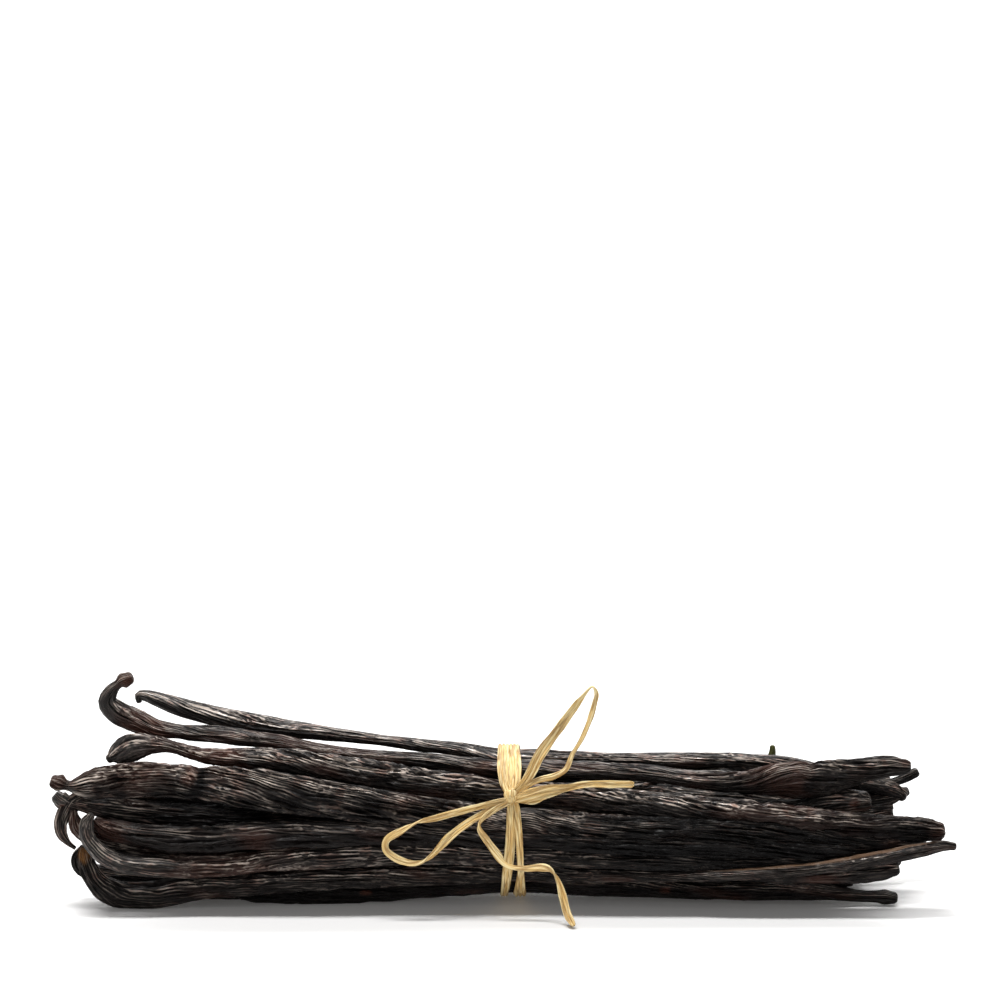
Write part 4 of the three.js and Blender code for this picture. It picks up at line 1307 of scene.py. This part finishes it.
class Finish:
    """A material and the one way in which nodes are added to it."""

    def __init__(self, name):
        self.material = bpy.data.materials.new(name)
        self.material.use_nodes = True
        self.tree = self.material.node_tree
        self.tree.nodes.clear()

    def node(self, kind, settings=None, inputs=None, output=0):
        """Adds a node, sets it up, gives its sockets values or wires, returns an output."""
        made = self.tree.nodes.new(kind)
        for key, value in (settings or {}).items():
            setattr(made, key, value)
        for key, value in (inputs or {}).items():
            if isinstance(value, Wire):
                self.tree.links.new(value.socket, made.inputs[key])
            else:
                made.inputs[key].default_value = value
        return Wire(self, made.outputs[output]) if made.outputs else None

    def maths(self, operation, first, second=0.0):
        return self.node("ShaderNodeMath", {"operation": operation}, {0: first, 1: second})

    def attribute(self, name, output):
        return self.node("ShaderNodeAttribute", {"attribute_name": name}, None, output)

    def stretched(self, vector, scale):
        return self.node("ShaderNodeVectorMath", {"operation": "MULTIPLY"}, {0: vector, 1: scale})

    def noise(self, vector, scale, detail=2.0, roughness=0.5, distortion=0.0):
        return self.node("ShaderNodeTexNoise", None, {
            "Vector": vector, "Scale": scale, "Detail": detail, "Roughness": roughness,
            "Distortion": distortion,
        })

    def ramp(self, value, low, high):
        """From 0 at low to 1 at high, smoothly."""
        return self.node("ShaderNodeMapRange", {"interpolation_type": "SMOOTHSTEP"}, {
            "Value": value, "From Min": low, "From Max": high,
        })

    def blend(self, share, first, second):
        """Mix of two colours."""
        return self.node(
            "ShaderNodeMix", {"data_type": "RGBA"}, {0: share, 6: first, 7: second}, output=2,
        )

    @staticmethod
    def creases(field, sharpness):
        """1 on the lines where a noise passes its middle, and less to both sides."""
        return 1.0 - abs(field - 0.5) * sharpness

    def bump(self, distance, height):
        """A bump of that many mm, for the shader's normal."""
        return self.node("ShaderNodeBump", None, {
            "Strength": 1.0, "Distance": distance * MM, "Height": height,
        })

    def surface(self, inputs):
        """The shader, wired to the material's output."""
        shader = self.node("ShaderNodeBsdfPrincipled", None, inputs)
        self.node("ShaderNodeOutputMaterial", None, {"Surface": shader})
        return self.material


def made_once(name, recipe, settings):
    """The material of that name, made by its recipe when it is first asked for."""
    return bpy.data.materials.get(name) or recipe(Finish(name), settings)


def rgba(values):
    return (*values, 1.0)


def pod_material(finish, settings):
    """Oily, finely wrinkled skin, with painted highlights on its crest lines and painted shade in
    its grooves.
    """
    place = finish.attribute("skin_place", "Vector")
    crest = finish.attribute("skin_crest", "Fac")
    # Strength of the painted highlight on the crest lines
    painted_highlight = finish.attribute("skin_wear", "Fac")
    tint_and_painted_light = finish.attribute("skin_tint", "Color")
    count = finish.attribute("skin_lines", "Fac")
    side, face, reach = (
        finish.node("ShaderNodeSeparateXYZ", None, {"Vector": place}, axis) for axis in range(3)
    )

    def drawn_out(along, **noise):
        """Noise that changes more slowly along the pod than round it."""
        return finish.noise(finish.stretched(place, (1.0, 1.0, along)), **noise)

    # Lines combed along the pod: a whole number of them round it, bent by noise
    bend = drawn_out(0.6, scale=0.3)
    crowded = drawn_out(0.15, scale=0.8, detail=1.0)
    angle = finish.maths("ARCTAN2", face, side)
    combed = finish.maths("SINE", angle * count + bend * 9.0 + crowded * 6.0 + reach * 0.4)
    short = finish.creases(drawn_out(0.27, scale=1.6, detail=1.0, distortion=0.3), 9.0)
    hair = finish.creases(drawn_out(0.2, scale=2.6, detail=1.0, distortion=0.2), 8.0)
    grain = finish.noise(place, 5.5, detail=3.0, roughness=0.6)
    cloudy = finish.noise(place, 0.35)
    crumpled = finish.ramp(finish.noise(place, 0.16, detail=1.0), 0.45, 0.62)
    fade = finish.ramp(drawn_out(0.17, scale=1.05, roughness=0.6), 0.38, 0.6)
    folds = combed * (1.0 - crumpled * 0.6) + short * crumpled * 0.9
    # Crests get painted highlights and shine, and the grooves between them get painted shade and
    # stay dull
    ridge = finish.ramp(crest, 0.35, 0.75)
    lines = finish.ramp(folds, 0.0, 0.95) + finish.ramp(hair, 0.5, 1.0) * 0.15
    # Mask of the painted highlight on the crest lines; the coat's gloss follows it too
    highlit = lines * painted_highlight * (0.35 + ridge * 0.65) * (0.12 + fade * 0.96)
    # Painted shade: the skin darkens towards the grooves between the crests
    body = finish.blend(1.0 - finish.ramp(crest, 0.0, 0.6), tint_and_painted_light, rgba(settings.groove))
    rusty = finish.ramp(finish.noise(place, 0.3), 0.5, 0.62) * 0.6
    # Colour of the painted highlight, redder in patches
    edge = finish.blend(rusty, rgba(settings.crest), rgba(settings.fox))
    return finish.surface({
        "Base Color": finish.blend(highlit, body, edge),
        "Roughness": 0.22 + cloudy * 0.2 + grain * 0.12,
        "Normal": finish.bump(0.14, folds * 0.7 + hair * 0.4 + grain * 0.2),
        "IOR": 1.46, "Specular IOR Level": 0.12,
        "Coat Weight": painted_highlight * 0.08 + highlit * 0.9, "Coat Roughness": 0.2,
    })


def raffia_material(finish, settings):
    """Dry, streaky fibre with painted shade in its folds."""
    place = finish.attribute("fibre_place", "Vector")
    fold = finish.attribute("fibre_fold", "Fac")
    threads = finish.noise(
        finish.stretched(place, (2.6, 0.13, 1.0)), 1.3, detail=3.0, roughness=0.6, distortion=0.15,
    )
    bands = finish.noise(finish.stretched(place, (1.9, 0.09, 1.0)), 1.0, detail=1.0)
    spots = finish.noise(place, 1.6, detail=3.0)
    pale = finish.blend(finish.ramp(threads, 0.42, 0.6), rgba(settings.straw), rgba(settings.pale))
    seams = finish.ramp(finish.creases(bands, 11.0), 0.1, 0.8)
    # Dark streaks of the fibre, and painted shade in its folds
    dark = seams * 0.75 + finish.ramp(fold, 0.6, 0.95) * 0.6
    return finish.surface({
        "Base Color": finish.blend(dark * (0.6 + spots * 0.6), pale, rgba(settings.tan)),
        "Roughness": 0.5 + threads * 0.2, "Specular IOR Level": 0.35,
        "Normal": finish.bump(0.05, threads + spots * 0.15),
    })


def floor_material(finish, settings):
    """Pale matt floor that glows a little."""
    where = finish.node("ShaderNodeTexCoord", None, None, "Object")
    cloudy = finish.noise(where, 6.0)
    darker = rgba([0.97 * part for part in settings.floor])
    # The floor glows a little: painted light that lifts the shadow at the foot
    return finish.surface({
        "Base Color": finish.blend(cloudy * 0.1, rgba(settings.floor), darker),
        "Roughness": 0.6, "Emission Color": rgba((1.0, 0.97, 0.94)), "Emission Strength": 0.05,
    })


# ---- Operators ----


class StageOperator(Operator):
    """Adds the camera, the floor that rises behind the bundle, and soft light."""

    bl_idname = "vanilla.stage"
    bl_label = "Stage"

    def execute(self, context):
        settings = context.scene.vanilla_stage
        scene = context.scene
        scene.view_settings.view_transform = "Standard"
        self.add_camera(scene)
        self.add_floor(scene, settings)
        for name, place, turned, size in LIGHTS:
            self.add_light(scene, name, place, turned, size, getattr(settings, name))
        world = bpy.data.worlds.new("air")
        world.use_nodes = True
        background = world.node_tree.nodes["Background"]
        background.inputs["Color"].default_value = (1.0, 1.0, 1.0, 1.0)
        background.inputs["Strength"].default_value = settings.air
        scene.world = world
        return {"FINISHED"}

    @staticmethod
    def add_camera(scene):
        data = bpy.data.cameras.new("camera")
        data.lens = CAMERA_LENS
        data.sensor_width = CAMERA_SENSOR
        data.sensor_fit = "HORIZONTAL"
        data.clip_end = 100.0
        camera = bpy.data.objects.new("camera", data)
        camera.location = in_frame(CAMERA_PLACE)
        camera.rotation_euler = [radians(turn) for turn in CAMERA_TILT]
        scene.collection.objects.link(camera)
        scene.camera = camera

    @staticmethod
    def add_floor(scene, settings):
        """A strip of floor that is spun up into a wall at its far end."""
        bm = bmesh.new()
        corners = [
            bm.verts.new((side * FLOOR["half_width"], FLOOR["front"], 0.0)) for side in (-1, 1)
        ]

        def pulled(edges, move):
            grown = bmesh.ops.extrude_edge_only(bm, edges=edges)["geom"]
            moved = [part for part in grown if isinstance(part, bmesh.types.BMVert)]
            bmesh.ops.translate(bm, verts=moved, vec=move)
            return [
                part for part in grown
                if isinstance(part, bmesh.types.BMEdge) and all(end in moved for end in part.verts)
            ]

        far = pulled([bm.edges.new(corners)], (0.0, FLOOR["back"] - FLOOR["front"], 0.0))
        spun = bmesh.ops.spin(
            bm, geom=[*far, *far[0].verts], cent=(0.0, FLOOR["back"], FLOOR["radius"]),
            axis=(1.0, 0.0, 0.0), angle=radians(90), steps=FLOOR_BEND_STEPS,
        )["geom_last"]
        top = [part for part in spun if isinstance(part, bmesh.types.BMEdge)]
        pulled(top, (0.0, 0.0, FLOOR["wall"]))
        bmesh.ops.recalc_face_normals(bm, faces=bm.faces)
        mesh = bpy.data.meshes.new("floor")
        bm.to_mesh(mesh)
        bm.free()
        mesh.shade_smooth()
        mesh.materials.append(made_once("pale_floor", floor_material, settings))
        floor = bpy.data.objects.new("floor", mesh)
        scene.collection.objects.link(floor)

    @staticmethod
    def add_light(scene, name, place, turned, size, watts):
        data = bpy.data.lights.new(name, "AREA")
        data.shape = "RECTANGLE"
        data.size, data.size_y = size
        data.energy = watts
        light = bpy.data.objects.new(name, data)
        light.location = place
        light.rotation_euler = [radians(turn) for turn in turned]
        scene.collection.objects.link(light)


class HeartOperator(Operator):
    """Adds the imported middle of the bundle, which the pods lie on."""

    bl_idname = "vanilla.heart"
    bl_label = "Packed middle"

    def execute(self, context):
        settings = context.scene.vanilla_pods
        skinned_piece("pods_packed_middle", [heart_surface(settings)], settings)
        return {"FINISHED"}


class FrontPodsOperator(Operator):
    """Adds the pods that show at the front, layer by layer."""

    bl_idname = "vanilla.front_pods"
    bl_label = "Front pods"

    def execute(self, context):
        settings = context.scene.vanilla_pods
        for name, pods, first_number, share in FRONT_PIECES:
            columns = int(settings.columns * share)
            pods_piece(name, pods, first_number, columns, settings.ring_step, settings)
        return {"FINISHED"}


class BackPodsOperator(Operator):
    """Adds the fanned pods of the back and the middle."""

    bl_idname = "vanilla.back_pods"
    bl_label = "Back pods"

    def execute(self, context):
        settings = context.scene.vanilla_pods
        for name, rules, first_number in BACK_PIECES:
            pods = [pod for rule in rules for pod in fanned_pods(rule)]
            pods_piece(
                name, pods, first_number, settings.back_columns, settings.back_ring_step, settings,
            )
        return {"FINISHED"}


class TurnsOperator(Operator):
    """Adds the two pleated turns of raffia round the waist."""

    bl_idname = "vanilla.raffia_turns"
    bl_label = "Raffia turns"

    def execute(self, context):
        settings = context.scene.vanilla_raffia
        turns = [turn_surface(*turn, settings) for turn in TURNS]
        raffia_piece("raffia_turns", turns, settings)
        return {"FINISHED"}


class KnotOperator(Operator):
    """Adds the knot: strands wound round the place where all of them meet."""

    bl_idname = "vanilla.raffia_knot"
    bl_label = "Raffia knot"

    def execute(self, context):
        settings = context.scene.vanilla_raffia
        knot = waist_at(KNOT["angle"], KNOT["out"])[0] + np.array((KNOT["x"], 0, 0))
        wraps = [
            knot_wrap(knot + np.array(offset), *wrap, settings) for offset, *wrap in KNOT_WRAPS
        ]
        raffia_piece("raffia_knot", wraps, settings)
        return {"FINISHED"}


class BowOperator(Operator):
    """Adds the bow's two loops and two loose tails."""

    bl_idname = "vanilla.raffia_bow"
    bl_label = "Raffia loops and tails"

    def execute(self, context):
        settings = context.scene.vanilla_raffia
        for name, *strand in BOW:
            raffia_piece(name, [strand_surface(*strand, settings)], settings)
        return {"FINISHED"}


OPERATORS = (
    StageOperator, HeartOperator, FrontPodsOperator, BackPodsOperator, TurnsOperator,
    KnotOperator, BowOperator,
)
SETTINGS = {
    "vanilla_pods": PodSettings, "vanilla_raffia": RaffiaSettings, "vanilla_stage": StageSettings,
}


class VanillaPanel(Panel):
    """Lists the steps that make the bundle, with their settings."""

    bl_idname = "VIEW3D_PT_vanilla"
    bl_label = "Vanilla pod bundle"
    bl_space_type = "VIEW_3D"
    bl_region_type = "UI"
    bl_category = "Vanilla"

    def draw(self, context):
        for operator in OPERATORS:
            self.layout.operator(operator.bl_idname)
        for pointer, group in SETTINGS.items():
            box = self.layout.box()
            for name in group.__annotations__:
                box.prop(getattr(context.scene, pointer), name)


CLASSES = (*SETTINGS.values(), *OPERATORS, VanillaPanel)


def register():
    for group in CLASSES:
        bpy.utils.register_class(group)
    for pointer, group in SETTINGS.items():
        setattr(bpy.types.Scene, pointer, PointerProperty(type=group))


def unregister():
    for pointer in SETTINGS:
        delattr(bpy.types.Scene, pointer)
    for group in reversed(CLASSES):
        bpy.utils.unregister_class(group)


def main():
    register()
    bpy.ops.vanilla.stage()
    bpy.ops.vanilla.heart()
    bpy.ops.vanilla.front_pods()
    bpy.ops.vanilla.back_pods()
    bpy.ops.vanilla.raffia_turns()
    bpy.ops.vanilla.raffia_knot()
    bpy.ops.vanilla.raffia_bow()


if __name__ == "__main__":
    main()
